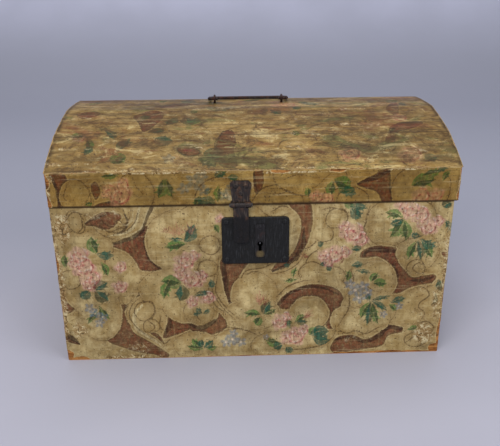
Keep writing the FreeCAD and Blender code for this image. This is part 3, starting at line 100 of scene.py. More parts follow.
def cloudy(u: Array, v: Array, size: float, seed: int, octaves: int = 3) -> Array:
    """Works out a smooth random field, the same on every run.

    Args:
        u: First coordinate, in millimetres.
        v: Second coordinate, in millimetres.
        size: Width of the largest blots, in millimetres.
        seed: Number of the random table.
        octaves: How many finer layers are added.

    Returns:
        A value between 0 and 1 for each point.
    """
    source = np.random.default_rng(seed)
    total = np.zeros_like(u)
    share = 0.0
    for layer in range(octaves):
        table = source.random((64, 64))
        x = u / size * 2**layer + 17.3 * layer
        y = v / size * 2**layer + 9.1 * layer
        column, row = np.floor(x).astype(int), np.floor(y).astype(int)
        x, y = x - column, y - row
        x, y = x * x * (3 - 2 * x), y * y * (3 - 2 * y)
        column, row = column % 64, row % 64
        right, above = (column + 1) % 64, (row + 1) % 64
        low = table[column, row] * (1 - x) + table[right, row] * x
        high = table[column, above] * (1 - x) + table[right, above] * x
        weight = 0.5**layer
        total += weight * (low * (1 - y) + high * y)
        share += weight
    return total / share


def rise(value: Array, low: float, high: float) -> Array:
    """Goes smoothly from 0 at one value to 1 at another.

    Args:
        value: The values to test.
        low: Where the result is 0.
        high: Where the result is 1.

    Returns:
        The smooth step of each value.
    """
    t = np.clip((value - low) / (high - low), 0.0, 1.0)
    return t * t * (3 - 2 * t)


def arc(x: float, y: float, radius: float, start: float, end: float) -> list[Point]:
    """Gives points along an arc, for a brush stroke.

    Args:
        x: Centre.
        y: Centre.
        radius: Radius of the arc.
        start: First angle in degrees, from the right, anticlockwise.
        end: Last angle in degrees.

    Returns:
        Points from the first angle to the last.
    """
    count = max(4, int(abs(end - start) / 15))
    turns = [math.radians(start + (end - start) * i / count) for i in range(count + 1)]
    return [(x + radius * math.cos(t), y + radius * math.sin(t)) for t in turns]


def eased(points: Sequence[Point], closed: bool) -> Array:
    """Runs a smooth curve through a few placed points.

    Args:
        points: The points that the curve goes through.
        closed: Whether the curve comes back to its start.

    Returns:
        The finer points of the curve, one row each.
    """
    given = np.array(points, float)
    if closed:
        given = np.vstack((given[-1], given, given[0], given[1]))
    else:
        given = np.vstack((2 * given[0] - given[1], given, 2 * given[-1] - given[-2]))
    rows = []
    for a, b, c, d in zip(given[:-3], given[1:-2], given[2:-1], given[3:]):
        for t in (0.0, 0.25, 0.5, 0.75):
            rows.append(0.5 * (2 * b + (c - a) * t + (2 * a - 5 * b + 4 * c - d) * t * t
                               + (3 * b - a - 3 * c + d) * t**3))
    if not closed:
        rows.append(given[-2])
    return np.array(rows)


# The print of the wallpaper


class Ink(Enum):
    """The colours of the print, in the order in which they lie on each other."""

    GROUND = 0
    SHADE = 1
    LIGHT = 2
    LINE = 3
    GREEN = 4
    MOSS = 5
    TEAL = 6
    BLUE = 7
    PALE = 8
    PINK = 9
    CRIMSON = 10
    WHITE = 11


@dataclass(frozen=True)
class Oval:
    """A filled oval of the print."""

    x: float
    y: float
    across: float
    tall: float = 0.0
    turn: float = 0.0

    def span(self) -> tuple[float, float, float, float]:
        """Gives the least and greatest x and y."""
        reach = max(self.across, self.tall)
        return (self.x - reach, self.x + reach, self.y - reach, self.y + reach)

    def inside(self, u: Array, v: Array) -> Array:
        """Gives the distance inside the outline, below zero outside it."""
        tall = self.tall or self.across
        cosine, sine = math.cos(math.radians(self.turn)), math.sin(math.radians(self.turn))
        x = (u - self.x) * cosine + (v - self.y) * sine
        y = (v - self.y) * cosine - (u - self.x) * sine
        near = np.hypot(x / self.across, y / tall)
        slope = np.hypot(x / self.across**2, y / tall**2) + 1e-6
        return near * (1.0 - near) / slope


@dataclass(frozen=True)
class Stroke:
    """A brush stroke that swells from one half width to another and back."""

    points: Sequence[Point]
    start: float
    middle: float
    end: float
    smooth: bool = True

    def line(self) -> Array:
        """Gives the points of its middle line."""
        if self.smooth and len(self.points) > 2:
            return eased(self.points, False)
        return np.array(self.points, float)

    def span(self) -> tuple[float, float, float, float]:
        """Gives the least and greatest x and y."""
        line, reach = self.line(), max(self.start, self.middle, self.end)
        low, high = line.min(0) - reach, line.max(0) + reach
        return (low[0], high[0], low[1], high[1])

    def inside(self, u: Array, v: Array) -> Array:
        """Gives the distance inside the stroke's edge, below zero outside it."""
        line = self.line()
        steps = np.hypot(*np.diff(line, axis=0).T)
        along = np.concatenate(([0.0], np.cumsum(steps))) / max(steps.sum(), 1e-6)
        half = np.interp(along, (0.0, 0.5, 1.0), (self.start, self.middle, self.end))
        best = np.full_like(u, -1e3)
        for i in range(len(line) - 1):
            a, run = line[i], line[i + 1] - line[i]
            size = max(float(run @ run), 1e-9)
            t = np.clip(((u - a[0]) * run[0] + (v - a[1]) * run[1]) / size, 0.0, 1.0)
            gap = np.hypot(u - a[0] - t * run[0], v - a[1] - t * run[1])
            best = np.maximum(best, half[i] + (half[i + 1] - half[i]) * t - gap)
        return best


@dataclass(frozen=True)
class Patch:
    """A filled shape with a smooth outline through placed points."""

    points: Sequence[Point]
    sharp: bool = False

    def outline(self) -> Array:
        """Gives the points of its outline."""
        return np.array(self.points, float) if self.sharp else eased(self.points, True)

    def span(self) -> tuple[float, float, float, float]:
        """Gives the least and greatest x and y."""
        line = self.outline()
        return (line[:, 0].min(), line[:, 0].max(), line[:, 1].min(), line[:, 1].max())

    def inside(self, u: Array, v: Array) -> Array:
        """Gives the distance inside the outline, below zero outside it."""
        line = self.outline()
        gap = np.full_like(u, 1e3)
        within = np.zeros(u.shape, bool)
        for a, b in zip(line, np.roll(line, -1, axis=0)):
            run = b - a
            size = max(float(run @ run), 1e-9)
            t = np.clip(((u - a[0]) * run[0] + (v - a[1]) * run[1]) / size, 0.0, 1.0)
            gap = np.minimum(gap, np.hypot(u - a[0] - t * run[0], v - a[1] - t * run[1]))
            crosses = (a[1] > v) != (b[1] > v)
            level = a[0] + (v - a[1]) * run[0] / (run[1] if abs(run[1]) > 1e-9 else 1e-9)
            within ^= crosses & (u < level)
        return np.where(within, gap, -gap)


Shape = Oval | Stroke | Patch


class Print:
    """The inks on one sheet: for each ink, how far inside its printed shapes a point is."""

    EDGE = 4.0

    def __init__(self, u: Array, v: Array, seed: int) -> None:
        """Starts a bare sheet.

        Args:
            u: Place of each point along the sheet, in millimetres.
            v: Place of each point up the sheet, in millimetres.
            seed: Number of the unsteadiness of the printer's hand.
        """
        drift = cloudy(u, v, 11.0, seed, 2) - 0.5
        sway = cloudy(u, v, 11.0, seed + 1, 2) - 0.5
        self.u = u + 2.2 * drift
        self.v = v + 2.2 * sway
        self.inks = {ink: np.full(u.shape, -FAR) for ink in Ink}
        self.shift: Point = (0.0, 0.0)
        self.mirror = 1.0

    def local(self, shape: Shape) -> tuple[Array, Array, Array]:
        """Finds the points near a shape.

        Args:
            shape: The shape to print.

        Returns:
            The mask of near points and their two coordinates in the shape's own layout.
        """
        u = (self.u - self.shift[0]) * self.mirror
        v = self.v - self.shift[1]
        left, right, low, high = shape.span()
        near = ((u > left - self.EDGE) & (u < right + self.EDGE)
                & (v > low - self.EDGE) & (v < high + self.EDGE))
        return near, u[near], v[near]

    def add(self, ink: Ink, *shapes: Shape) -> None:
        """Prints shapes in one ink."""
        for shape in shapes:
            near, u, v = self.local(shape)
            if near.any():
                layer = self.inks[ink]
                layer[near] = np.maximum(layer[near], shape.inside(u, v))

    def clear(self, inks: Iterable[Ink], *shapes: Shape) -> None:
        """Takes some inks away inside shapes."""
        for shape in shapes:
            near, u, v = self.local(shape)
            if near.any():
                inside = shape.inside(u, v)
                for ink in inks:
                    self.inks[ink][near] = np.minimum(self.inks[ink][near], -inside)

    def outline(self, shape: Shape, half: float = 0.7) -> None:
        """Draws the outline of a shape over the lines that it covers."""
        near, u, v = self.local(shape)
        if near.any():
            inside = shape.inside(u, v)
            layer = self.inks[Ink.LINE]
            layer[near] = np.maximum(np.minimum(layer[near], 0.5 - inside), half - np.abs(inside))

    def medallion(self, *lobes: Shape, half: float = 0.65) -> None:
        """Prints a cream medallion of one or more lobes with its tan outline.

        Args:
            *lobes: The ovals that it is made of.
            half: Half the width of the outline.
        """
        self.clear((Ink.GROUND, Ink.SHADE), *lobes)
        for lobe in lobes:
            self.outline(lobe, half)
        for lobe in lobes:
            near, u, v = self.local(lobe)
            if near.any():
                layer = self.inks[Ink.LINE]
                layer[near] = np.minimum(layer[near], 0.3 - lobe.inside(u, v) + half)

    def leaf(self, x: float, y: float, angle: float, long: float, wide: float,
             ink: Ink = Ink.GREEN, bend: float = 12.0) -> None:
        """Prints a leaf with its dark half and its pale rib.

        Args:
            x: Place of the stalk.
            y: Place of the stalk.
            angle: Direction of the tip in degrees.
            long: Length of the leaf.
            wide: Greatest width.
            ink: The ink of the leaf.
            bend: How far its rib curves, in degrees.
        """
        turn, lean = math.radians(angle), math.radians(angle + bend)
        mid = (x + 0.5 * long * math.cos(lean), y + 0.5 * long * math.sin(lean))
        tip = (x + long * math.cos(turn), y + long * math.sin(turn))
        side = (-math.sin(turn), math.cos(turn))
        dark = Ink.MOSS if ink is not Ink.MOSS else Ink.TEAL
        wide *= 1.3
        self.add(ink, Stroke(((x, y), mid, tip), 0.3, wide / 2, 0.2))
        for share in (0.35, 0.62):
            spot = (x + share * (tip[0] - x), y + share * (tip[1] - y))
            for sign in (1, -1):
                end = (spot[0] + sign * side[0] * wide * 0.52 + 0.2 * (tip[0] - x),
                       spot[1] + sign * side[1] * wide * 0.52 + 0.2 * (tip[1] - y))
                self.add(ink, Stroke((spot, end), wide * 0.22, wide * 0.18, 0.2))
        shift = -0.24 * wide if bend > 0 else 0.24 * wide
        low = (x + shift * side[0] * 0.4, y + shift * side[1] * 0.4)
        turned = (mid[0] + shift * side[0], mid[1] + shift * side[1])
        self.add(dark, Stroke((low, turned, tip), 0.1, wide * 0.26, 0.1))
        self.clear((ink, dark), Stroke(((x, y), mid, tip), 0.15, 0.22, 0.05))

    def rose(self, x: float, y: float, radius: float, turn: float = 0.0, deep: float = 1.0) -> None:
        """Prints a full-blown rose with pale petals, pink folds and crimson shadows.

        Args:
            x: Centre.
            y: Centre.
            radius: Outer radius.
            turn: Turn of the petals in degrees.
            deep: How much crimson there is, 0 to 1.
        """
        for i in range(5):
            t = math.radians(turn + 72 * i)
            swell = 1.0 + 0.25 * math.sin(2.3 * i + turn)
            self.add(Ink.PALE, Oval(x + 0.45 * radius * math.cos(t), y + 0.4 * radius * math.sin(t),
                                    0.52 * radius * swell, 0.4 * radius, turn + 72 * i + 20))
        for i in range(8):
            angle = turn + 137.5 * i
            reach = radius * (0.2 + 0.62 * ((i * 0.38) % 1.0))
            bow = arc(x, y, reach, angle, angle + 50 + 14 * (i % 3))
            self.add(Ink.PINK, Stroke(bow, 0.1, 0.09 * radius + 0.25, 0.1))
        for i in range(3 + round(6 * deep)):
            angle = turn + 200 + 101.0 * i
            reach = radius * (0.16 + 0.66 * ((i * 0.62) % 1.0))
            bow = arc(x + 0.1 * radius, y - 0.1 * radius, reach, angle, angle + 34 + 12 * (i % 2))
            self.add(Ink.CRIMSON, Stroke(bow, 0.1, 0.05 * radius + 0.2, 0.1))
        for i in range(4):
            bow = arc(x - 0.1 * radius, y + 0.12 * radius, radius * (0.26 + 0.18 * i),
                      turn + 60 + 95 * i, turn + 112 + 95 * i)
            self.add(Ink.WHITE, Stroke(bow, 0.1, 0.07 * radius + 0.2, 0.1))

    def posy(self, x: float, y: float, radius: float, turn: float = 0.0) -> None:
        """Prints a small grey-blue flower.

        Args:
            x: Centre.
            y: Centre.
            radius: Outer radius.
            turn: Turn of the petals in degrees.
        """
        for i in range(5):
            t = math.radians(turn + 72 * i)
            px, py = x + 0.6 * radius * math.cos(t), y + 0.6 * radius * math.sin(t)
            self.add(Ink.BLUE, Oval(px, py, 0.42 * radius, 0.3 * radius, turn + 72 * i))
            self.add(Ink.TEAL, Stroke(((x, y), (px, py)), 0.1, 0.35, 0.1))
        self.add(Ink.WHITE, Oval(x, y, 0.2 * radius))

    def spray(self, x: float, y: float, angle: float, long: float, spread: float,
              ink: Ink = Ink.PINK, count: int = 6) -> None:
        """Prints a tuft of fine strokes, such as a bud or grass.

        Args:
            x: Foot of the tuft.
            y: Foot of the tuft.
            angle: Direction of the tuft in degrees.
            long: Length of its strokes.
            spread: Angle between its outer strokes.
            ink: The ink.
            count: How many strokes it has.
        """
        for i in range(count):
            share = i / max(count - 1, 1) - 0.5
            t = math.radians(angle + spread * share)
            reach = long * (1.0 - 0.45 * abs(share) - 0.12 * (i % 2))
            lean = t + 0.18 * share
            points = ((x + 0.15 * long * math.cos(t), y + 0.15 * long * math.sin(t)),
                      (x + 0.6 * reach * math.cos(t), y + 0.6 * reach * math.sin(t)),
                      (x + reach * math.cos(lean), y + reach * math.sin(lean)))
            self.add(ink, Stroke(points, 0.2, 0.55, 0.15))


class Layout:
    """The drawing of one repeat of the wallpaper, seen on the front of the chest."""

    LEAVES: Sequence[tuple[float, float, float, float, float, Ink, float]] = (
        (-78, 150, 62, 26, 10, Ink.TEAL, -10), (-76, 149, 190, 25, 9, Ink.GREEN, -8),
        (-78, 155, 178, 18, 3.5, Ink.TEAL, 8), (-45, 172, -60, 12, 5, Ink.GREEN, 10),
        (-178, 138, 98, 22, 10, Ink.GREEN, 10), (-178, 138, -5, 20, 8, Ink.TEAL, -10),
        (-214, 122, 85, 17, 6, Ink.GREEN, 10), (-173, 128, -70, 18, 6, Ink.GREEN, 14),
        (-184, 94, 30, 18, 10, Ink.MOSS, 12), (-184, 92, -40, 20, 11, Ink.MOSS, -10),
        (-190, 92, 215, 14, 9, Ink.TEAL, 10), (-181, 74, 275, 22, 4, Ink.GREEN, 6),
        (-184, 70, 240, 24, 5, Ink.GREEN, 8), (-180, 72, 300, 20, 5, Ink.GREEN, -8),
        (-84, 100, 175, 24, 10, Ink.GREEN, -14), (-86, 100, 200, 12, 7, Ink.GREEN, 10),
        (-84, 98, -95, 22, 12, Ink.MOSS, 12), (-96, 104, 250, 26, 9, Ink.GREEN, -12),
        (-50, 104, -88, 12, 6, Ink.TEAL, 8), (-64, 83, 40, 12, 5, Ink.TEAL, -8),
        (-70, 83, 15, 18, 5, Ink.MOSS, 8), (-62, 60, 130, 10, 5, Ink.TEAL, 8),
        (-60, 60, 30, 9, 4, Ink.TEAL, -8), (-64, 60, 185, 8, 4, Ink.TEAL, 8),
        (8, 56, 170, 20, 7, Ink.GREEN, -10), (10, 56, 60, 20, 9, Ink.MOSS, 10),
        (8, 52, 230, 12, 8, Ink.GREEN, 10), (12, 56, 25, 16, 5, Ink.GREEN, 6),
        (49, 46, 30, 16, 6, Ink.GREEN, 12), (50, 45, 0, 14, 6, Ink.MOSS, -8),
        (46, 44, 160, 10, 5, Ink.GREEN, 8), (68, 27, 12, 23, 12, Ink.TEAL, 16),
        (70, 24, -12, 22, 10, Ink.TEAL, -14), (66, 27, 50, 14, 7, Ink.GREEN, 10),
        (32, 16, 165, 20, 8, Ink.GREEN, 10), (34, 16, 215, 12, 8, Ink.TEAL, -10),
        (40, 12, -70, 10, 7, Ink.TEAL, 8), (44, 36, 110, 14, 4, Ink.TEAL, 8),
        (-65, 12, 80, 12, 6, Ink.TEAL, 6), (-63, 12, 130, 18, 7, Ink.GREEN, 8),
        (-61, 12, 45, 16, 7, Ink.TEAL, -8), (-62, 11, 165, 20, 6, Ink.GREEN, 8),
        (-58, 11, 15, 14, 5, Ink.GREEN, -6),
        (112, 138, 5, 12, 6, Ink.TEAL, 10), (85, 119, -70, 9, 5, Ink.TEAL, 8),
        (84, 122, 200, 8, 4, Ink.TEAL, 8), (77, 141, 90, 8, 5, Ink.TEAL, 8),
        (45, 104, 75, 14, 4, Ink.GREEN, 8), (45, 104, 215, 10, 3, Ink.GREEN, 8),
        (33, 99, 12, 18, 3, Ink.GREEN, -8), (42, 119, 160, 8, 4, Ink.TEAL, 8),
        (137, 97, 60, 13, 7, Ink.GREEN, 8), (139, 95, -5, 16, 8, Ink.GREEN, 10),
        (137, 70, -115, 24, 8, Ink.GREEN, -8), (138, 70, -95, 32, 8, Ink.MOSS, 6),
        (139, 70, -72, 32, 7, Ink.GREEN, -6), (139, 71, -35, 24, 6, Ink.TEAL, 10),
        (138, 71, 15, 24, 4, Ink.TEAL, 8), (136, 71, 100, 10, 5, Ink.TEAL, 8),
        (112, 118, 5, 15, 6, Ink.TEAL, 8), (118, 112, -15, 18, 4, Ink.TEAL, 8),
        (108, 98, 80, 14, 5, Ink.GREEN, -10),
        (168, 176, 165, 22, 8, Ink.GREEN, -14), (170, 174, -125, 26, 11, Ink.GREEN, 12),
        (171, 172, -85, 24, 9, Ink.GREEN, 10), (168, 173, 200, 16, 7, Ink.TEAL, 8),
        (106, 191, -10, 22, 7, Ink.TEAL, 8), (108, 188, -45, 18, 9, Ink.TEAL, -8),
        (112, 192, 175, 12, 7, Ink.GREEN, 8), (212, 188, 30, 10, 8, Ink.MOSS, 8),
        (190, 150, -30, 24, 8, Ink.TEAL, -14), (190, 152, 160, 12, 6, Ink.TEAL, 8),
        (188, 148, -80, 26, 7, Ink.MOSS, 10), (186, 147, -110, 24, 8, Ink.GREEN, -10),
        (192, 145, -55, 24, 8, Ink.GREEN, 8), (216, 172, 300, 18, 6, Ink.TEAL, 12),
        (216, 98, 280, 16, 7, Ink.TEAL, 8), (214, 80, 270, 20, 5, Ink.TEAL, 6),
        (184, 32, 10, 14, 5, Ink.GREEN, 8), (162, 68, 20, 18, 6, Ink.TEAL, 8),
        (160, 66, -40, 12, 5, Ink.GREEN, 8),
    )

    def __init__(self, sheet: Print) -> None:
        """Takes the sheet that it is printed on."""
        self.sheet = sheet

    def grounds(self) -> None:
        """Prints the red-brown gaps between the medallions and their dark sides."""
        patches = (
            ((-187, 176), (-168, 187), (-151, 188), (-147, 180), (-161, 168), (-180, 172)),
            ((-160, 149), (-135, 156), (-118, 172), (-118, 150), (-110, 124), (-107, 117),
             (-128, 117), (-134, 128), (-143, 140)),
            ((-230, 101), (-215, 94), (-209, 80), (-212, 66), (-230, 66)),
            ((-127, 88), (-156, 73), (-161, 48), (-176, 30), (-168, 21), (-146, 12), (-120, 5),
             (-108, 0), (-104, 6), (-124, 22), (-140, 36), (-150, 54), (-151, 72), (-138, 84)),
            ((-128, 33), (-118, 22), (-110, 14), (-108, 22), (-116, 34)),
            ((-98, 62), (-80, 48), (-68, 43), (-90, 33), (-108, 27), (-104, 44)),
            ((-82, 47), (-62, 38), (-44, 52), (-41, 60), (-32, 42), (-49, 31), (-70, 34)),
            ((-36, 130), (-37, 106), (-33, 86), (-27, 68), (-22, 96), (-8, 121), (-2, 130)),
            ((38, 196), (62, 196), (66, 168), (58, 142), (42, 124), (22, 112), (26, 122),
             (42, 132), (50, 150), (54, 168), (50, 182)),
            ((122, 128), (132, 141), (162, 139), (167, 125), (176, 109), (186, 103), (211, 104),
             (209, 94), (186, 89), (168, 80), (160, 84), (164, 100), (158, 118), (142, 128)),
            ((27, 67), (38, 84), (58, 93), (82, 94), (100, 84), (109, 64), (98, 52), (95, 36),
             (86, 38), (88, 58), (80, 72), (66, 80), (50, 76), (42, 63)),
            ((94, 3), (99, 22), (116, 26), (134, 20), (150, 28), (158, 38), (177, 35), (177, 28),
             (162, 24), (154, 10), (128, 5)),
            ((-59, 192), (-50, 196), (-47, 188), (-53, 184)),
            ((-230, 38), (-212, 26), (-208, 22), (-222, 26)),
            ((216, 133), (230, 132), (230, 124), (220, 126)),
        )
        for points in patches:
            self.sheet.add(Ink.GROUND, Patch(points))
        strokes = (
            (((-187, 176), (-177, 180), (-160, 186)), 1.2, 1.5, 0.5),
            (((-160, 150), (-140, 157), (-126, 164), (-119, 176)), 0.8, 3.4, 1.0),
            (((-124, 156), (-121, 140), (-114, 127), (-107, 118)), 0.6, 2.4, 1.8),
            (((-156, 74), (-158, 54), (-166, 36), (-176, 28)), 1.0, 4.0, 2.5),
            (((-130, 88), (-146, 80), (-152, 66)), 1.2, 2.6, 1.0),
            (((-106, 30), (-102, 44), (-97, 56)), 1.2, 3.4, 1.0),
            (((-80, 47), (-62, 41), (-46, 50)), 1.0, 3.6, 2.0),
            (((-34, 130), (-34, 106), (-31, 86), (-27, 70)), 2.6, 2.8, 0.8),
            (((48, 128), (56, 146), (57, 166)), 3.0, 3.4, 0.6),
            (((22, 112), (36, 120), (50, 132)), 1.0, 2.6, 2.4),
            (((126, 130), (133, 137), (150, 136), (164, 134)), 1.4, 3.6, 2.4),
            (((160, 118), (167, 104), (163, 84)), 0.8, 2.4, 2.0),
            (((182, 96), (198, 97), (210, 101)), 0.5, 2.6, 1.2),
            (((29, 69), (42, 84), (60, 91), (82, 90), (98, 80)), 1.6, 2.0, 0.8),
            (((93, 64), (95, 52), (92, 38)), 0.8, 2.4, 1.6),
            (((99, 20), (116, 23), (134, 16), (152, 25), (160, 35), (176, 33)), 1.6, 2.6, 2.8),
            (((-226, 37), (-214, 29), (-208, 22)), 2.0, 3.0, 0.8),
        )
        for points, start, middle, end in strokes:
            self.sheet.add(Ink.SHADE, Stroke(points, start, middle, end))

    def medallions(self) -> None:
        """Prints the cream medallions, their outlines and the scrolls between them."""
        sheet = self.sheet
        plain: Sequence[Sequence[Shape]] = (
            (Oval(-84, 151, 39), Oval(-60, 166, 30)), (Oval(-185, 146, 27),),
            (Oval(-152, 108, 22, 34),), (Oval(-180, 62, 26, 36), Oval(-190, 92, 30), Oval(-178, 100, 26)),
            (Oval(-100, 92, 34, 26), Oval(-78, 80, 32, 34)), (Oval(-65, 62, 18),),
            (Oval(0, 83, 28), Oval(-2, 58, 34, 22)), (Oval(141, 96, 27), Oval(136, 62, 34, 30)),
            (Oval(124, 44, 19), Oval(146, 46, 17), Oval(108, 48, 18)), (Oval(188, 133, 25),),
            (Oval(-70, 16, 27, 20),), (Oval(-22, 16, 30, 22),), (Oval(30, 14, 34, 20),),
        )
        for lobes in plain:
            sheet.medallion(*lobes, half=0.3)
        for lobes in ((Oval(153, 169, 28), Oval(176, 174, 30, 24)), (Oval(65, 56, 24.5),)):
            sheet.medallion(*lobes, half=0.5)
        for lobe in (Oval(-197, 177, 9, 14, 20), Oval(-210, 107, 10.5, 12), Oval(-50, 147, 11.5),
                     Oval(-53, 118, 11), Oval(93, 176, 13, 11, 30), Oval(-128, 64, 12, 13),
                     Oval(-122, 44, 10, 9), Oval(188, 112, 11, 12), Oval(196, 18, 14, 10)):
            sheet.clear((Ink.GROUND, Ink.SHADE), lobe)
            sheet.outline(lobe, 0.6)

    def scrolls(self) -> None:
        """Prints the cream scroll bands, the curled leaves and their tan lines."""
        sheet = self.sheet
        bands = (
            (((-163, 160), (-146, 163), (-132, 172), (-124, 196)), 1.0, 4.2, 4.0),
            (((-158, 156), (-140, 160), (-126, 168), (-116, 190)), 0.5, 1.6, 2.0),
            (((-150, 176), (-141, 172), (-134, 180), (-132, 192)), 1.4, 1.6, 1.0),
            (((-131, 72), (-140, 60), (-140, 42), (-126, 30), (-112, 18)), 3.0, 6.0, 4.0),
        )
        for points, start, middle, end in bands:
            sheet.clear((Ink.GROUND, Ink.SHADE), Stroke(points, start, middle, end))
            sheet.add(Ink.LIGHT, Stroke(points, start * 0.4, middle * 0.45, end * 0.3))
        shades = (
            (((-158, 160), (-146, 166), (-140, 176), (-143, 186)), 0.4, 1.6, 1.0),
            (((-159, 152), (-140, 157), (-125, 167), (-112, 193)), 0.8, 1.1, 2.2),
        )
        for points, start, middle, end in shades:
            sheet.add(Ink.SHADE, Stroke(points, start, middle, end))
        for x, y, radius, start, end, half in (
                (-150, 190, 27, 190, 292, 0.9), (-150, 190, 21, 196, 300, 0.6),
                (-150, 190, 34, 200, 285, 0.6), (-121, 60, 25, 120, 262, 0.8),
                (-121, 60, 29, 128, 240, 0.5), (-26, 84, 24, 150, 262, 0.8),
                (-26, 84, 29, 156, 250, 0.5), (66, 60, 34, 40, 150, 0.8),
                (152, 108, 26, 190, 262, 0.7), (20, 150, 36, 262, 350, 0.8),
                (20, 150, 41, 270, 345, 0.5)):
            sheet.add(Ink.LINE, Stroke(arc(x, y, radius, start, end), 0.3, half, 0.3))
        lines = (
            ((-162, 164), (-147, 170), (-137, 180), (-135, 192)),
            ((-150, 163), (-134, 172), (-126, 190)),
            ((-149, 178), (-144, 172), (-138, 178)),
            ((-210, 174), (-200, 188), (-184, 184)),
            ((-46, 108), (-48, 88), (-38, 68), (-22, 50)),
            ((-42, 110), (-44, 88), (-34, 68), (-17, 51)),
            ((-40, 134), (-42, 112)),
            ((-15, 104), (-8, 114), (8, 117), (26, 124)),
            ((-8, 108), (-2, 112), (8, 112)),
            ((2, 122), (8, 127), (16, 124), (14, 117)),
            ((26, 78), (38, 92), (54, 99), (68, 100)),
            ((102, 100), (110, 88), (113, 66), (104, 46), (100, 38)),
            ((53, 102), (52, 112), (58, 121), (70, 123), (84, 117), (98, 116), (106, 106), (104, 98)),
            ((112, 112), (116, 100), (110, 90)),
            ((76, 186), (90, 188), (104, 182), (102, 168), (90, 164)),
            ((70, 152), (78, 148), (88, 150), (90, 160), (84, 168)),
            ((56, 140), (64, 142), (72, 150)),
            ((58, 120), (64, 132), (76, 140)),
            ((127, 172), (124, 160), (130, 146), (136, 140)),
            ((130, 190), (126, 178)),
            ((-137, 74), (-120, 76), (-117, 62), (-126, 52), (-136, 52)),
            ((-147, 66), (-142, 46), (-130, 34), (-118, 26)),
            ((-126, 52), (-118, 44), (-124, 36)),
            ((-110, 56), (-112, 44), (-104, 34)), ((-100, 56), (-98, 44), (-106, 32)),
            ((-116, 30), (-108, 20), (-100, 26)),
            ((184, 84), (190, 88), (202, 86), (206, 76), (200, 70), (196, 62), (204, 54), (200, 44)),
            ((186, 92), (198, 93), (208, 86)), ((192, 76), (200, 78)),
            ((200, 114), (190, 120), (184, 112), (192, 106), (202, 110)),
            ((196, 40), (208, 42), (216, 34), (208, 26)), ((184, 14), (196, 22), (210, 18)),
            ((-196, 164), (-190, 172), (-192, 186)),
            ((-68, 64), (-66, 54), (-60, 50)), ((-72, 66), (-70, 56)),
            ((100, 36), (110, 28), (122, 32), (134, 27), (146, 34), (158, 38)),
            ((-96, 36), (-84, 40), (-60, 34)), ((-44, 34), (-30, 40), (-10, 36), (2, 28)),
            ((20, 186), (32, 192), (42, 188)), ((4, 192), (22, 178), (40, 184)),
            ((30, 10), (60, 8), (84, 14), (96, 26), (98, 40)),
        )
        for points in lines:
            sheet.add(Ink.LINE, Stroke(points, 0.45, 0.85, 0.35))

    def hatching(self) -> None:
        """Prints the soft tan shading strokes inside the medallions."""
        sheet = self.sheet
        rims = ((-84, 151, 33, 300, 345), (-152, 108, 18, 280, 330), (-65, 62, 14, 200, 300),
                (0, 83, 23, 150, 230), (65, 56, 20, 20, 80), (141, 96, 22, 330, 380),
                (188, 133, 20, 240, 300), (153, 169, 23, 160, 220), (-185, 146, 22, 60, 110),
                (-70, 16, 22, 60, 130), (-22, 16, 25, 50, 120), (124, 44, 14, 230, 300))
        for x, y, radius, start, end in rims:
            for i in range(int(abs(end - start) / 9)):
                t = math.radians(start + 9 * i)
                inner, outer = radius - 3.5, radius + 2.0
                sheet.add(Ink.LINE, Stroke(
                    ((x + inner * math.cos(t), y + inner * math.sin(t)),
                     (x + outer * math.cos(t + 0.05), y + outer * math.sin(t + 0.05))),
                    0.05, 0.3, 0.1))

    def flowers(self) -> None:
        """Prints the roses, buds and blue flowers with their leaves."""
        sheet = self.sheet
        for x, y, angle, long, wide, ink, bend in self.LEAVES:
            sheet.leaf(x, y, angle, long, wide, ink, bend)
        for x, y, radius, turn, deep in (
                (-78, 128, 13, 10, 0.3), (-85, 118, 9, 50, 0.4), (-68, 133, 8, 80, 0.2),
                (-72, 104, 14, 30, 1.0), (-84, 108, 8, 10, 1.0), (-60, 108, 8, 70, 1.0),
                (-72, 76, 9, 20, 0.6), (-54, 80, 10, 60, 0.6),
                (-198, 136, 14, 20, 0.2), (-193, 122, 15, 60, 0.4), (-185, 108, 13, 100, 0.5),
                (-190, 101, 11, 5, 0.8), (-204, 128, 9, 30, 0.2), (-152, 122, 8, 40, 0.2),
                (-155, 97, 10, 15, 0.8),
                (30, 46, 12, 25, 0.4), (38, 52, 8, 70, 0.3), (48, 26, 15, 10, 0.5),
                (58, 34, 9, 40, 0.4), (38, 22, 8, 80, 0.5),
                (112, 158, 15, 35, 0.5), (122, 150, 10, 60, 0.3), (102, 166, 8, 20, 0.6),
                (92, 132, 14, 15, 1.0), (80, 130, 8, 50, 1.0), (104, 134, 9, 80, 0.7),
                (86, 122, 8, 10, 0.8), (176, 184, 12, 20, 0.2), (188, 178, 12, 60, 0.3),
                (166, 190, 9, 100, 0.2), (198, 164, 12, 30, 0.5), (208, 170, 9, 75, 0.4),
                (190, 168, 8, 5, 0.4), (-38, 178, 6, 0, 0.8)):
            sheet.rose(x, y, radius, turn, deep)
        for x, y, radius, turn in (
                (-187, 63, 7, 0), (-178, 58, 6, 30), (-192, 70, 6, 60), (-182, 50, 6, 10),
                (-26, 24, 9, 0), (-16, 20, 7, 40), (-34, 20, 7, 20), (-24, 32, 6, 70),
                (119, 86, 9, 0), (128, 90, 8, 30), (124, 76, 8, 60), (112, 94, 7, 15),
                (134, 82, 6, 40), (154, 53, 5, 0), (172, 64, 5, 30), (14, 26, 4, 0)):
            sheet.posy(x, y, radius, turn)
        sheet.spray(-86, 158, 92, 18, 120, Ink.PINK, 9)
        sheet.spray(-96, 162, 120, 12, 80, Ink.CRIMSON, 5)
        sheet.spray(-70, 158, 95, 18, 50, Ink.PINK, 4)
        sheet.spray(8, 66, 100, 24, 40, Ink.PINK, 6)
        sheet.spray(12, 66, 80, 20, 30, Ink.CRIMSON, 3)
        sheet.spray(58, 48, 50, 18, 40, Ink.PINK, 5)
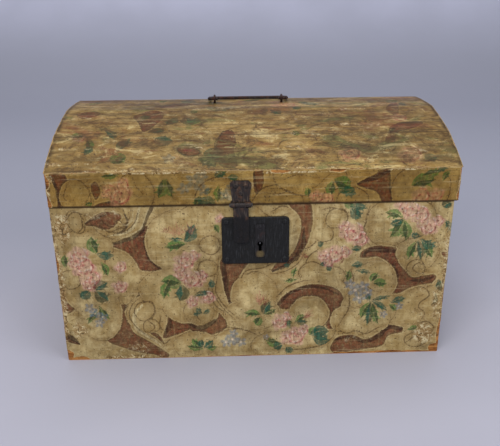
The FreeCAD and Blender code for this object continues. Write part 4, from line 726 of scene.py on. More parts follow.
        sheet.spray(60, 50, 40, 12, 40, Ink.CRIMSON, 3)
        sheet.spray(-156, 97, 90, 8, 300, Ink.CRIMSON, 5)
        sheet.spray(64, 130, 170, 14, 40, Ink.CRIMSON, 4)

    def draw(self) -> None:
        """Prints the whole layout."""
        self.grounds()
        self.medallions()
        self.scrolls()
        self.hatching()
        self.flowers()


class RepeatLayout(Layout):
    """The same drawing carried on round the trunk, for the faces that it runs onto."""

    def __init__(self, sheet: Print, shifts: Sequence[Point]) -> None:
        """Takes the sheet and the places of the repeats.

        Args:
            sheet: The sheet that is printed.
            shifts: Where each repeat's middle lies on the sheet.
        """
        super().__init__(sheet)
        self.shifts = shifts

    def draw(self) -> None:
        """Prints each repeat in its place."""
        for step in (self.grounds, self.medallions, self.scrolls, self.hatching, self.flowers):
            for shift in self.shifts:
                self.sheet.shift = shift
                step()
        self.sheet.shift = (0.0, 0.0)


class BandLayout:
    """The part of the drawing that shows on the front of the lid's band."""

    def __init__(self, sheet: Print) -> None:
        """Takes the sheet that it is printed on."""
        self.sheet = sheet

    def draw(self) -> None:
        """Prints the band."""
        sheet = self.sheet
        for points in (
                ((-222, 232), (-204, 232), (-202, 210), (-206, 194), (-216, 192), (-214, 212)),
                ((-176, 197), (-160, 200), (-150, 195), (-166, 190)),
                ((-1, 232), (9, 234), (8, 214), (2, 205), (-2, 216)),
                ((112, 216), (126, 224), (146, 236), (148, 214), (154, 190), (142, 192),
                 (134, 206), (120, 212)),
                ((-178, 219), (-172, 224), (-168, 212), (-174, 204))):
            sheet.add(Ink.GROUND, Patch(points))
        for points, start, middle, end in (
                (((112, 216), (128, 222), (146, 231)), 1.0, 2.8, 2.0),
                (((148, 226), (149, 210), (156, 194)), 0.6, 1.6, 1.2),
                (((-220, 230), (-214, 214), (-214, 196)), 1.2, 2.4, 1.0),
                (((-164, 199), (-154, 200), (-146, 197)), 0.6, 2.0, 0.8),
                (((-1, 230), (0, 216), (5, 206)), 1.2, 1.4, 0.6)):
            sheet.add(Ink.SHADE, Stroke(points, start, middle, end))
        for lobe in (Oval(-196, 205, 17, 22), Oval(183, 208, 33, 30), Oval(108, 198, 18, 14),
                     Oval(25, 195, 28, 22), Oval(60, 226, 40, 22), Oval(-130, 210, 20, 24),
                     Oval(-40, 200, 26, 26)):
            sheet.clear((Ink.GROUND, Ink.SHADE), lobe)
            sheet.outline(lobe, 0.65)
        for points in (((-202, 222), (-208, 206), (-200, 200)), ((-140, 226), (-136, 212), (-128, 206)),
                       ((-132, 228), (-128, 216), (-122, 208), (-128, 204)),
                       ((6, 212), (30, 212), (52, 204), (66, 214), (84, 230)),
                       ((8, 208), (24, 206), (40, 210)), ((30, 222), (48, 228), (70, 224)),
                       ((-186, 196), (-180, 210), (-168, 218), (-158, 212)),
                       ((60, 200), (70, 206), (78, 200)), ((90, 226), (98, 218), (108, 220))):
            sheet.add(Ink.LINE, Stroke(points, 0.35, 0.6, 0.3))
        for x, y, angle, long, wide, ink, bend in (
                (-98, 226, 250, 24, 10, Ink.GREEN, 10), (-96, 226, 285, 24, 8, Ink.GREEN, -8),
                (-62, 204, 300, 16, 9, Ink.MOSS, 8), (-62, 202, 340, 22, 9, Ink.TEAL, 8),
                (-60, 206, 240, 14, 7, Ink.GREEN, 6), (-44, 226, 30, 16, 8, Ink.TEAL, 10),
                (-40, 218, 270, 20, 6, Ink.GREEN, -8), (-46, 214, 200, 12, 5, Ink.TEAL, 8),
                (-34, 212, 280, 12, 5, Ink.MOSS, 6), (-30, 226, 0, 12, 6, Ink.TEAL, 8),
                (86, 222, 330, 22, 12, Ink.GREEN, 10), (92, 208, 350, 20, 9, Ink.TEAL, 12),
                (84, 220, 270, 16, 8, Ink.GREEN, -8), (98, 204, 20, 12, 5, Ink.TEAL, 8),
                (58, 202, 90, 12, 5, Ink.GREEN, 8), (172, 214, 12, 28, 12, Ink.GREEN, 12),
                (184, 224, 20, 20, 8, Ink.GREEN, -8), (198, 228, 30, 16, 6, Ink.TEAL, 8),
                (206, 218, 60, 14, 5, Ink.GREEN, 8), (-178, 200, 200, 8, 4, Ink.GREEN, 6),
                (-146, 232, 190, 20, 5, Ink.GREEN, 6)):
            sheet.leaf(x, y, angle, long, wide, ink, bend)
        for x, y, radius, turn, deep in ((-148, 207, 15, 20, 0.3), (-158, 212, 10, 60, 0.2),
                                         (-144, 220, 9, 40, 0.2), (68, 202, 9, 10, 1.0),
                                         (80, 200, 8, 40, 1.0), (184, 200, 13, 70, 0.2),
                                         (200, 202, 10, 20, 0.2)):
            sheet.rose(x, y, radius, turn, deep)
        for x, y, radius, turn in ((-66, 222, 10, 0), (-78, 214, 7, 40), (-56, 212, 7, 20),
                                   (-58, 228, 7, 60), (-32, 206, 8, 10), (-26, 216, 6, 30)):
            sheet.posy(x, y, radius, turn)
        sheet.add(Ink.LIGHT, Oval(-30, 202, 10, 8), Oval(-38, 210, 5))


class DomeLayout:
    """The rubbed print of the dome: u runs along the trunk, v over it from the front edge."""

    def __init__(self, sheet: Print) -> None:
        """Takes the sheet that it is printed on."""
        self.sheet = sheet

    def draw(self) -> None:
        """Prints the dome."""
        sheet = self.sheet
        for points in (
                ((-36, 8), (-40, 40), (-34, 66), (-24, 72), (-18, 56), (-20, 30), (-18, 6)),
                ((-120, 150), (-96, 158), (-62, 172), (-36, 176), (-40, 164), (-84, 152),
                 (-104, 140)),
                ((-140, 112), (-120, 130), (-104, 118), (-112, 86), (-124, 70), (-132, 92)),
                ((96, 36), (120, 40), (134, 34), (118, 30)),
                ((150, 40), (160, 66), (168, 80), (190, 88), (204, 84), (190, 70), (168, 60),
                 (160, 36)),
                ((168, 120), (176, 140), (190, 160), (186, 128), (178, 104)),
                ((60, 220), (100, 232), (140, 226), (100, 216)),
                ((-210, 120), (-190, 130), (-182, 118), (-200, 106))):
            sheet.add(Ink.GROUND, Patch(points))
        sheet.add(Ink.SHADE, Stroke(((-112, 150), (-80, 168), (-40, 176)), 2.0, 3.0, 1.5),
                  Stroke(((-134, 96), (-120, 112), (-108, 126)), 1.5, 3.4, 1.0),
                  Stroke(((160, 60), (176, 82), (200, 86)), 1.5, 3.0, 1.5),
                  Stroke(((-39, 14), (-41, 44), (-32, 70)), 0.8, 1.6, 1.0))
        for x, y, radius, start, end in (
                (-180, 60, 36, 20, 110), (-70, 100, 38, 200, 300), (40, 50, 44, 60, 190),
                (130, 90, 38, 90, 220), (60, 140, 40, 10, 120), (-20, 130, 28, 180, 290),
                (-160, 190, 34, 30, 150), (90, 190, 34, 200, 320), (180, 190, 34, 40, 160),
                (200, 40, 28, 90, 200), (-60, 280, 38, 0, 140), (60, 290, 40, 180, 330),
                (-170, 280, 40, 60, 200), (170, 270, 40, 20, 130)):
            sheet.add(Ink.LINE, Stroke(arc(x, y, radius, start, end), 0.3, 0.65, 0.3))
        for points in (((60, 60), (74, 80), (96, 84), (110, 70)), ((84, 40), (100, 56), (120, 58)),
                       ((120, 110), (118, 80), (122, 66)), ((40, 96), (60, 110), (90, 104)),
                       ((-60, 168), (-30, 160), (10, 160)), ((130, 140), (150, 120), (150, 90)),
                       ((10, 30), (30, 20), (60, 24)), ((-10, 90), (10, 84), (24, 66))):
            sheet.add(Ink.LINE, Stroke(points, 0.4, 0.7, 0.3))
        for i in range(70):
            x = 10.0 + 200.0 * ((i * 0.618) % 1.0) - 190.0 * (i % 4 == 0)
            y = 14.0 + 150.0 * ((i * 0.414) % 1.0)
            turn = 360.0 * ((i * 0.732) % 1.0)
            bow = arc(x, y, 5.0 + 13.0 * ((i * 0.29) % 1.0), turn, turn + 50 + 60 * ((i * 0.53) % 1.0))
            sheet.add(Ink.LINE if i % 3 else Ink.SHADE, Stroke(bow, 0.3, 0.95, 0.2))
        for x, y, angle, long, wide, ink, bend in (
                (-80, 168, 80, 30, 16, Ink.TEAL, 4), (-168, 76, 300, 26, 9, Ink.MOSS, 10),
                (-88, 108, 240, 24, 11, Ink.TEAL, 10), (-78, 108, 285, 22, 11, Ink.MOSS, -8),
                (-64, 106, 250, 22, 10, Ink.TEAL, 8), (-70, 118, 60, 12, 7, Ink.GREEN, 8),
                (-60, 22, 320, 26, 12, Ink.TEAL, 10), (-206, 62, 10, 16, 10, Ink.GREEN, 10),
                (-186, 60, 280, 30, 7, Ink.GREEN, 8), (-180, 44, 250, 18, 8, Ink.TEAL, 8),
                (-150, 34, 60, 26, 10, Ink.TEAL, 8), (-156, 18, 20, 18, 14, Ink.GREEN, 8),
                (-118, 70, 10, 20, 10, Ink.MOSS, 8), (-112, 54, 350, 24, 14, Ink.MOSS, -8),
                (20, 132, 250, 18, 8, Ink.GREEN, 8), (26, 130, 300, 22, 10, Ink.MOSS, 8),
                (66, 158, 340, 26, 13, Ink.TEAL, 12), (64, 160, 30, 16, 8, Ink.GREEN, 8),
                (58, 140, 270, 14, 8, Ink.TEAL, 8), (50, 68, 280, 12, 7, Ink.GREEN, 8),
                (196, 134, 90, 22, 7, Ink.TEAL, 8), (178, 156, 40, 22, 12, Ink.GREEN, 8),
                (190, 10, 30, 16, 10, Ink.TEAL, 8), (-206, 168, 40, 24, 10, Ink.GREEN, 8),
                (-196, 176, 80, 20, 8, Ink.TEAL, 8), (-112, 176, 80, 20, 8, Ink.GREEN, 8),
                (-10, 178, 20, 26, 10, Ink.GREEN, 8), (6, 180, 60, 18, 8, Ink.MOSS, 8),
                (-40, 36, 300, 12, 6, Ink.TEAL, 8), (-120, 112, 200, 14, 7, Ink.GREEN, 8),
                (-140, 262, 30, 24, 11, Ink.GREEN, 8), (20, 262, 150, 24, 11, Ink.TEAL, 8),
                (110, 254, 20, 24, 11, Ink.MOSS, 8), (-60, 300, 200, 24, 11, Ink.GREEN, 8)):
            sheet.leaf(x, y, angle, long, wide, ink, bend)
        for x, y, radius, turn, deep in ((36, 168, 10, 10, 0.4), (48, 150, 14, 30, 0.6),
                                         (34, 146, 10, 70, 0.4), (-196, 58, 9, 10, 0.5),
                                         (176, 22, 16, 40, 0.2), (108, 24, 14, 20, 0.3),
                                         (178, 98, 12, 10, 0.2), (-150, 262, 15, 20, 0.5),
                                         (30, 286, 16, 50, 0.5), (120, 286, 13, 10, 0.5),
                                         (-10, 240, 14, 10, 0.3)):
            sheet.rose(x, y, radius, turn, deep)
        for x, y, radius, turn in ((-34, 134, 10, 0), (-46, 138, 8, 40), (-22, 140, 8, 20),
                                   (-92, 20, 8, 20), (-46, 188, 9, 10), (86, 262, 10, 20)):
            sheet.posy(x, y, radius, turn)
        lens = Patch(((-88, 34), (-80, 46), (-66, 44), (-55, 32), (-58, 22), (-74, 20)))
        sheet.clear(list(Ink), lens)
        sheet.add(Ink.LIGHT, lens)
        core = Patch(((-84, 34), (-78, 41), (-68, 40), (-58, 31), (-62, 25), (-73, 24)))
        sheet.clear((Ink.LIGHT,), core)
        sheet.add(Ink.GROUND, core)
        sheet.add(Ink.MOSS, Stroke(((-85, 34), (-78, 42), (-68, 41), (-57, 31)), 1.0, 2.4, 1.0),
                  Stroke(((-85, 34), (-73, 24), (-62, 25), (-57, 31)), 0.8, 1.8, 1.0))
        sheet.add(Ink.PINK, Oval(-71, 33, 6.5, 2.6, -12))
        sheet.leaf(-54, 30, 340, 20, 15, Ink.TEAL, 4)


class Wear:
    """The tears, rubbed places, dirt and painted seam shade of one sheet."""

    def __init__(self, u: Array, v: Array, seed: int) -> None:
        """Starts a sheet that is only lightly used.

        Args:
            u: Place of each point along the sheet, in millimetres.
            v: Place of each point up the sheet, in millimetres.
            seed: Number of the random fields.
        """
        self.u, self.v, self.seed = u, v, seed
        self.rough = cloudy(u, v, 9.0, seed + 40, 4)
        self.tear = np.full(u.shape, -FAR)
        self.scuff = np.zeros(u.shape)
        self.grime_and_seam_shade = 0.35 * rise(cloudy(u, v, 60.0, seed + 41), 0.45, 0.75)
        self.stain = rise(cloudy(u, v, 95.0, seed + 42, 4), 0.4, 0.8)
        self.fade = 0.25 * cloudy(u, v, 40.0, seed + 43)
        self.crease_and_seam_shade = np.zeros(u.shape)

    def bite(self, *spots: tuple[float, float, float, float]) -> None:
        """Tears paper away round spots.

        Args:
            *spots: The x, y, half width and half height of each torn place.
        """
        for x, y, across, tall in spots:
            inside = Oval(x, y, across, tall).inside(self.u, self.v)
            ragged = inside + (self.rough - 0.5) * 1.3 * min(across, tall) + 0.4
            self.tear = np.maximum(self.tear, np.clip(ragged, -FAR, 3.0))

    def fray(self, distance: Array, width: float) -> None:
        """Tears the paper along an edge.

        Args:
            distance: Distance of each point to that edge.
            width: How far the deepest tears go in.
        """
        ragged = width * (2.6 * self.rough - 1.1) - distance
        self.tear = np.maximum(self.tear, np.clip(ragged, -FAR, 3.0))

    def rub(self, *spots: tuple[float, float, float, float, float]) -> None:
        """Rubs the print off to pale paper round spots.

        Args:
            *spots: The x, y, half width, half height and strength of each rubbed place.
        """
        for x, y, across, tall, strength in spots:
            near = np.hypot((self.u - x) / across, (self.v - y) / tall)
            self.scuff = np.maximum(self.scuff, strength * rise(-near, -1.0, -0.2))

    def darken_spots(self, *spots: tuple[float, float, float, float, float]) -> None:
        """Darkens the paper round spots.

        Args:
            *spots: The x, y, half width, half height and strength of each darkened place.
        """
        for x, y, across, tall, strength in spots:
            near = np.hypot((self.u - x) / across, (self.v - y) / tall)
            self.grime_and_seam_shade = np.maximum(self.grime_and_seam_shade, strength * rise(-near, -1.0, -0.1))


# Materials


class Graph:
    """Adds and joins the shader nodes of one material."""

    def __init__(self, name: str) -> None:
        """Makes an empty material with one shader."""
        self.material = bpy.data.materials.new(name)
        self.material.use_nodes = True
        self.tree = self.material.node_tree
        self.shader = next(n for n in self.tree.nodes if n.type == "BSDF_PRINCIPLED")
        self.place = self.node("ShaderNodeTexCoord", {}).outputs["Object"]

    def node(self, kind: str, inputs: dict, **settings: object) -> bpy.types.Node:
        """Adds a node.

        Args:
            kind: Type name of the node.
            inputs: A socket to join or a value to set, for each named or numbered input.
            **settings: Properties of the node.

        Returns:
            The new node.
        """
        made = self.tree.nodes.new(kind)
        for key, setting in settings.items():
            setattr(made, key, setting)
        for key, given in inputs.items():
            if isinstance(given, bpy.types.NodeSocket):
                self.tree.links.new(given, made.inputs[key])
            else:
                made.inputs[key].default_value = given
        return made

    def math(self, operation: str, first: object, second: object = 0.0,
             clamp: bool = False) -> Socket:
        """Adds a sum, product or other arithmetic node and gives its result."""
        return self.node("ShaderNodeMath", {0: first, 1: second}, operation=operation,
                         use_clamp=clamp).outputs[0]

    def mix(self, share: object, first: object, second: object, blend: str = "MIX") -> Socket:
        """Mixes two colours and gives the result."""
        made = self.node("ShaderNodeMix", {0: share, 6: first, 7: second}, data_type="RGBA",
                         blend_type=blend)
        return made.outputs[2]

    def step(self, given: object, low: float, high: float, least: float = 0.0,
             most: float = 1.0) -> Socket:
        """Goes smoothly from one value to another as the input goes from low to high."""
        made = self.node("ShaderNodeMapRange", {0: given, 1: low, 2: high, 3: least, 4: most},
                         interpolation_type="SMOOTHSTEP")
        return made.outputs[0]

    def noise(self, scale: float, detail: float = 3.0, stretch: tuple[float, float, float] | None = None,
              bend: float = 0.0, rough: float = 0.5) -> Socket:
        """Adds a noise field.

        Args:
            scale: Blots per metre.
            detail: Number of finer layers.
            stretch: How much denser it is along each axis, if not the same.
            bend: How far the field is warped.
            rough: Strength of the finer layers.

        Returns:
            A value between 0 and 1.
        """
        place = self.place
        if stretch:
            place = self.node("ShaderNodeMapping", {0: place, 3: stretch}).outputs[0]
        made = self.node("ShaderNodeTexNoise", {"Vector": place, "Scale": scale, "Detail": detail,
                                                "Roughness": rough, "Distortion": bend})
        return made.outputs[0]

    def split(self, attribute: str) -> tuple[Socket, Socket, Socket]:
        """Reads the three numbers of an attribute of the mesh."""
        read = self.node("ShaderNodeAttribute", {}, attribute_name=attribute)
        parts = self.node("ShaderNodeSeparateXYZ", {0: read.outputs["Vector"]})
        return parts.outputs[0], parts.outputs[1], parts.outputs[2]

    def finish(self, colour: object, rough: object, height: Socket | None = None,
               depth: float = 0.0001, strength: float = 0.6) -> bpy.types.Material:
        """Joins the results to the shader.

        Args:
            colour: Base colour.
            rough: Roughness.
            height: Height of the fine relief, from 0 to 1.
            depth: Depth of that relief in metres.
            strength: Strength of that relief.

        Returns:
            The finished material.
        """
        for key, given in (("Base Color", colour), ("Roughness", rough)):
            if isinstance(given, bpy.types.NodeSocket):
                self.tree.links.new(given, self.shader.inputs[key])
            else:
                self.shader.inputs[key].default_value = given
        if height is not None:
            bump = self.node("ShaderNodeBump", {"Height": height, "Distance": depth,
                                                "Strength": strength})
            self.tree.links.new(bump.outputs[0], self.shader.inputs["Normal"])
        return self.material


@dataclass(frozen=True)
class PineGrain:
    """Bare aged pine, shared by the boards and by the places where the paper is torn."""

    along: tuple[float, float, float]
    pale: tuple[float, float, float] = (182, 128, 70)
    dark: tuple[float, float, float] = (126, 76, 36)
    old: tuple[float, float, float] = (78, 52, 32)

    def paint(self, graph: Graph, aged: float) -> tuple[Socket, Socket]:
        """Makes the colour and the relief of the grain.

        Args:
            graph: The material's nodes.
            aged: How dark and dirty the wood is, 0 to 1.

        Returns:
            The colour and the height.
        """
        bands = graph.noise(60.0, 4.0, self.along, 0.6, 0.55)
        fibre = graph.noise(900.0, 3.0, self.along, 0.0, 0.6)
        rings = graph.math("FRACT", graph.math("MULTIPLY", bands, 9.0))
        late = graph.step(rings, 0.35, 0.95)
        colour = graph.mix(late, linear(*self.pale), linear(*self.dark))
        colour = graph.mix(graph.step(fibre, 0.35, 0.75, 0.0, 0.35), colour, linear(*self.dark))
        dirt = graph.step(graph.noise(22.0, 5.0), 0.75 - 0.5 * aged, 0.95 - 0.3 * aged, 0.0, 0.8)
        colour = graph.mix(dirt, colour, linear(*self.old))
        return colour, graph.math("MULTIPLY", graph.math("ADD", fibre, late), 0.5)


@dataclass(frozen=True)
class PineFinish:
    """The pine of one group of boards."""

    name: str
    along: tuple[float, float, float]
    aged: float = 0.45

    def material(self) -> bpy.types.Material:
        """Makes the material."""
        graph = Graph(self.name)
        colour, height = PineGrain(self.along).paint(graph, self.aged)
        rough = graph.step(height, 0.1, 0.9, 0.58, 0.78)
        return graph.finish(colour, rough, height, 0.0003, 0.5)


@dataclass(frozen=True)
class PaperFinish:
    """Printed, varnished and worn wallpaper, read from the attributes of its sheet."""

    name: str
    cream: tuple[float, float, float] = (206, 185, 134)
    tan: tuple[float, float, float] = (156, 130, 80)
    # Colour of dirt, and of the painted shade in the lid seam.
    soot_and_shade: tuple[float, float, float] = (58, 44, 28)
    strength: float = 0.96
    streaks: tuple[float, float, float] = (1.0, 1.0, 0.06)
    streak_share: float = 0.25
    along: tuple[float, float, float] = (0.06, 1.0, 1.0)
    gloss: float = 0.5
    crazed: float = 0.5
    washed: float = 0.0
    varnish: tuple[float, float, float] | None = None

    INKS = (
        (Ink.GROUND, "print_a", 0, (106, 44, 30), 1.0, 0.4),
        (Ink.SHADE, "print_a", 1, (52, 30, 22), 0.95, 0.4),
        (Ink.LIGHT, "print_a", 2, (224, 206, 156), 0.75, 0.5),
        (Ink.LINE, "print_b", 0, (72, 45, 22), 0.9, 0.4),
        (Ink.PALE, "print_c", 2, (230, 180, 160), 0.72, 1.8),
        (Ink.GREEN, "print_b", 1, (70, 126, 54), 0.94, 0.5),
        (Ink.MOSS, "print_b", 2, (30, 58, 36), 0.92, 0.6),
        (Ink.TEAL, "print_c", 0, (20, 90, 74), 0.92, 0.5),
        (Ink.BLUE, "print_c", 1, (122, 138, 152), 0.75, 1.1),
        (Ink.PINK, "print_d", 0, (186, 88, 90), 0.7, 0.9),
        (Ink.CRIMSON, "print_d", 1, (128, 26, 48), 0.92, 0.6),
        (Ink.WHITE, "print_d", 2, (240, 218, 196), 0.85, 0.8),
    )

    def print_colour(self, graph: Graph, colour: Socket, fade: Socket) -> Socket:
        """Lays the inks over the bare paper in their order.

        Args:
            graph: The material's nodes.
            colour: Colour of the bare paper.
            fade: How far the print has gone, 0 to 1.

        Returns:
            The printed colour.
        """
        ragged = graph.math("MULTIPLY", graph.math("SUBTRACT", graph.noise(620.0, 4.0), 0.5), 2.2)
        mottle = graph.noise(260.0, 4.0, None, 0.0, 0.65)
        brush = graph.noise(420.0, 2.0, (1.0, 1.0, 0.35))
        kept = graph.math("SUBTRACT", self.strength, graph.math("MULTIPLY", fade, 0.75), clamp=True)
        kept = graph.math("MULTIPLY", kept, graph.step(mottle, 0.2, 0.6, 0.6, 1.0))
        parts = {key: graph.split(key) for key in ("print_a", "print_b", "print_c", "print_d")}
        halo = graph.step(graph.math("ADD", parts["print_b"][0], ragged), -7.0, 0.0, 0.0, 0.36)
        colour = graph.mix(graph.math("MULTIPLY", halo, kept), colour, linear(116, 84, 42))
        near = graph.step(graph.math("ADD", parts["print_a"][0], ragged), -11.0, -1.0, 0.0, 0.34)
        colour = graph.mix(graph.math("MULTIPLY", near, kept), colour, linear(126, 94, 48))
        rim = graph.math("ADD", parts["print_a"][0], ragged)
        pale = graph.math("MULTIPLY", graph.step(rim, -2.2, -0.9), graph.step(rim, -0.2, -0.8, 0.0, 0.3))
        colour = graph.mix(graph.math("MULTIPLY", pale, kept), colour, linear(214, 196, 146))
        for ink, key, number, tint, cover, soft in self.INKS:
            edge = graph.math("ADD", parts[key][number], ragged)
            share = graph.math("MULTIPLY", graph.step(edge, -soft, soft, 0.0, cover), kept)
            deep = tuple(part * 0.72 for part in tint)
            tone = graph.mix(graph.step(brush, 0.3, 0.7), linear(*tint), linear(*deep))
            if ink is Ink.GROUND:
                tone = graph.mix(graph.step(edge, 2.6, 0.2, 0.0, 0.75), tone, linear(54, 31, 23))
                patchy = graph.noise(150.0, 6.0, None, 0.8, 0.7)
                tone = graph.mix(graph.step(patchy, 0.52, 0.64, 0.0, 0.6), tone, linear(60, 34, 26))
                tone = graph.mix(graph.step(patchy, 0.46, 0.36, 0.0, 0.5), tone, linear(142, 72, 46))
            colour = graph.mix(share, colour, tone)
        return colour

    def cracks(self, graph: Graph) -> Socket:
        """Gives the share of the dark cracks and scratches in the varnish."""
        field_ = graph.noise(85.0, 6.0, (0.4, 1.0, 1.0) if self.washed else None, 0.9, 0.62)
        ridge = graph.math("ABSOLUTE", graph.math("SUBTRACT", field_, 0.5))
        some = graph.step(graph.noise(17.0, 4.0), 0.42, 0.62, 0.15, self.crazed)
        return graph.math("MULTIPLY", graph.step(ridge, 0.013 + 0.012 * self.washed, 0.002), some)

    def material(self) -> bpy.types.Material:
        """Makes the material."""
        graph = Graph(self.name)
        tear, scuff, grime_and_seam_shade = graph.split("wear")
        stain, fade, crease_and_seam_shade = graph.split("tone")
        fibre = graph.noise(1500.0, 3.0, None, 0.0, 0.7)
        blots = graph.noise(85.0, 5.0, None, 0.4, 0.6)
        streak = graph.noise(330.0, 4.0, self.streaks, 0.0, 0.6)
        paper = graph.mix(graph.step(blots, 0.3, 0.72), linear(*self.cream), linear(*self.tan))
        paper = graph.mix(graph.math("MULTIPLY", stain, 0.5), paper, linear(*self.tan))
        cloud = graph.step(graph.noise(30.0, 6.0, None, 0.6, 0.66), 0.38, 0.66, 0.0, 0.5)
        paper = graph.mix(cloud, paper, linear(*(0.86 * part for part in self.tan)))
        colour = self.print_colour(graph, paper, fade)
        if self.varnish:
            colour = graph.mix(1.0, colour, linear(*self.varnish), "MULTIPLY")
        grain = graph.noise(330.0, 7.0, None, 0.0, 0.78)
        colour = graph.mix(graph.step(grain, 0.52, 0.72, 0.0, 0.42), colour,
                           linear(*(0.6 * part for part in self.tan)))
        colour = graph.mix(graph.step(grain, 0.46, 0.3, 0.0, 0.22), colour, linear(214, 196, 150))
        level = graph.noise(420.0, 4.0, self.along, 0.0, 0.6)
        colour = graph.mix(graph.step(level, 0.54, 0.7, 0.0, 0.26), colour,
                           linear(*(0.66 * part for part in self.tan)))
        colour = graph.mix(graph.step(level, 0.44, 0.3, 0.0, 0.18), colour, linear(222, 204, 156))
        rubbed = graph.step(streak, 0.5, 0.66, 0.0, self.streak_share)
        colour = graph.mix(rubbed, colour, linear(*(0.7 * part for part in self.tan)))
        bright = graph.step(graph.noise(240.0, 5.0, self.streaks), 0.56, 0.76, 0.0, 0.16)
        colour = graph.mix(bright, colour, linear(206, 186, 132))
        if self.washed:
            wash = graph.noise(30.0, 6.0, (0.45, 1.0, 1.0), 0.9, 0.66)
            colour = graph.mix(graph.step(wash, 0.53, 0.64, 0.0, self.washed), colour,
                               linear(112, 62, 40))
            colour = graph.mix(graph.step(wash, 0.46, 0.36, 0.0, self.washed), colour,
                               linear(86, 98, 54))
            blotch = graph.noise(62.0, 8.0, (0.5, 1.0, 1.0), 0.9, 0.74)
            colour = graph.mix(graph.step(blotch, 0.52, 0.6, 0.0, 0.7), colour, linear(78, 55, 30))
            colour = graph.mix(graph.step(blotch, 0.45, 0.38, 0.0, 0.5), colour, linear(206, 186, 132))
            lines = graph.noise(150.0, 7.0, (0.05, 1.0, 1.0), 0.5, 0.7)
            colour = graph.mix(graph.step(lines, 0.53, 0.62, 0.0, 0.36), colour, linear(84, 60, 34))
            colour = graph.mix(graph.step(lines, 0.44, 0.36, 0.0, 0.2), colour, linear(206, 184, 130))
        colour = graph.mix(self.cracks(graph), colour, linear(54, 38, 24))
        # Dirt, and the painted shade of the lid seam, darken the paper towards the soot colour.
        dirt_and_shade = graph.math("MULTIPLY", grime_and_seam_shade, graph.step(graph.noise(130.0, 6.0), 0.2, 0.62))
        colour = graph.mix(dirt_and_shade, colour, linear(*self.soot_and_shade))
        broken = graph.math("SUBTRACT", graph.noise(62.0, 9.0, None, 0.7, 0.74), 0.5)
        worn = graph.math("ADD", scuff, graph.math("MULTIPLY", broken, 1.6))
        chips = graph.noise(190.0, 9.0, None, 0.8, 0.78)
        flaked = graph.mix(graph.step(chips, 0.42, 0.52), linear(212, 198, 158), linear(140, 108, 64))
        flaked = graph.mix(graph.step(chips, 0.54, 0.58), flaked, linear(50, 36, 24))
        colour = graph.mix(graph.step(worn, 0.3, 0.7, 0.0, 0.75), colour, flaked)
        specks = graph.step(graph.noise(430.0, 3.0), 0.63, 0.69, 0.0, 0.75)
        colour = graph.mix(specks, colour, linear(62, 44, 28))
        # Dark crease lines, and the painted shade of the lid seam, in a deep brown.
        colour = graph.mix(graph.step(crease_and_seam_shade, 0.2, 0.9, 0.0, 0.8), colour, linear(48, 33, 21))
        ragged = graph.math("MULTIPLY", graph.math("SUBTRACT", graph.noise(420.0, 5.0), 0.5), 2.4)
        edge = graph.math("ADD", tear, ragged)
        colour = graph.mix(graph.step(edge, -1.0, -0.4, 0.0, 0.6), colour, linear(196, 172, 124))
        wood, grain = PineGrain(self.along).paint(graph, 0.3)
        wood = graph.mix(graph.math("MULTIPLY", dirt_and_shade, 0.75), wood, linear(*self.soot_and_shade))
        wood = graph.mix(graph.step(chips, 0.5, 0.6, 0.0, 0.6), wood, linear(60, 42, 26))
        bare = graph.step(edge, -0.2, 0.1)
        colour = graph.mix(bare, colour, wood)
        rough = graph.step(blots, 0.25, 0.75, self.gloss, self.gloss + 0.16)
        rough = graph.math("ADD", rough, graph.math("MULTIPLY", bare, 0.18))
        height = graph.math("ADD", graph.math("MULTIPLY", fibre, 0.5),
                            graph.math("MULTIPLY", blots, 0.6))
        height = graph.math("SUBTRACT", height, graph.math("MULTIPLY", bare, 0.7))
        graph.shader.inputs["Specular IOR Level"].default_value = 0.12
        return graph.finish(colour, rough, height, 0.0002, 0.5)


@dataclass(frozen=True)
class IronFinish:
    """Forged or sheet iron: black scale, rust, and worn bright streaks that also serve as a painted sheen."""

    name: str
    black: tuple[float, float, float] = (40, 38, 40)
    rust: tuple[float, float, float] = (84, 54, 38)
    # Colour of the worn bright streaks, also a painted sheen.
    sheen: tuple[float, float, float] = (96, 98, 106)
    rusty: float = 0.4
    worn: float = 0.3
    rough: float = 0.5
    metal: float = 0.7
    spot: tuple[float, float, float] | None = None
    black_below: float | None = None

    def material(self) -> bpy.types.Material:
        """Makes the material."""
        graph = Graph(self.name)
        scale = graph.noise(160.0, 6.0, None, 0.3, 0.6)
        pits = graph.noise(900.0, 4.0, None, 0.0, 0.7)
        drag = graph.noise(700.0, 3.0, (1.0, 1.0, 0.12), 0.0, 0.5)
        colour = graph.mix(graph.step(scale, 0.62 - 0.3 * self.rusty, 0.85 - 0.3 * self.rusty),
                           linear(*self.black), linear(*self.rust))
        colour = graph.mix(graph.step(pits, 0.55, 0.8, 0.0, 0.5), colour,
                           linear(*(0.6 * part for part in self.rust)))
        # Painted sheen: lighter streaks along the drag noise, partly worn bare metal.
        colour = graph.mix(graph.step(drag, 0.52, 0.7, 0.0, self.worn), colour, linear(*self.sheen))
        if self.spot:
            middle = tuple(part * MM for part in self.spot)
            gap = graph.node("ShaderNodeVectorMath", {0: graph.place, 1: middle},
                             operation="DISTANCE").outputs["Value"]
            glow = graph.math("ADD", gap, graph.math("MULTIPLY", pits, 0.002))
            colour = graph.mix(graph.step(glow, 0.0072, 0.0030, 0.0, 0.8), colour,
                               linear(108, 92, 58))
        if self.black_below:
            height_up = graph.node("ShaderNodeSeparateXYZ", {0: graph.place}).outputs[2]
            edge = graph.math("ADD", height_up, graph.math("MULTIPLY", scale, 0.012))
            low = (self.black_below + 6.0) * MM
            colour = graph.mix(graph.step(edge, low + 0.004, low - 0.003, 0.0, 0.94), colour,
                               linear(17, 16, 17))
        rough = graph.math("ADD", graph.step(scale, 0.3, 0.7, self.rough - 0.08, self.rough + 0.2),
                           graph.math("MULTIPLY", pits, 0.1))
        graph.shader.inputs["Metallic"].default_value = self.metal
        graph.shader.inputs["Specular IOR Level"].default_value = 0.35
        height = graph.math("ADD", graph.math("MULTIPLY", scale, 0.8),
                            graph.math("MULTIPLY", pits, 0.35))
        return graph.finish(colour, rough, height, 0.0005, 0.7)


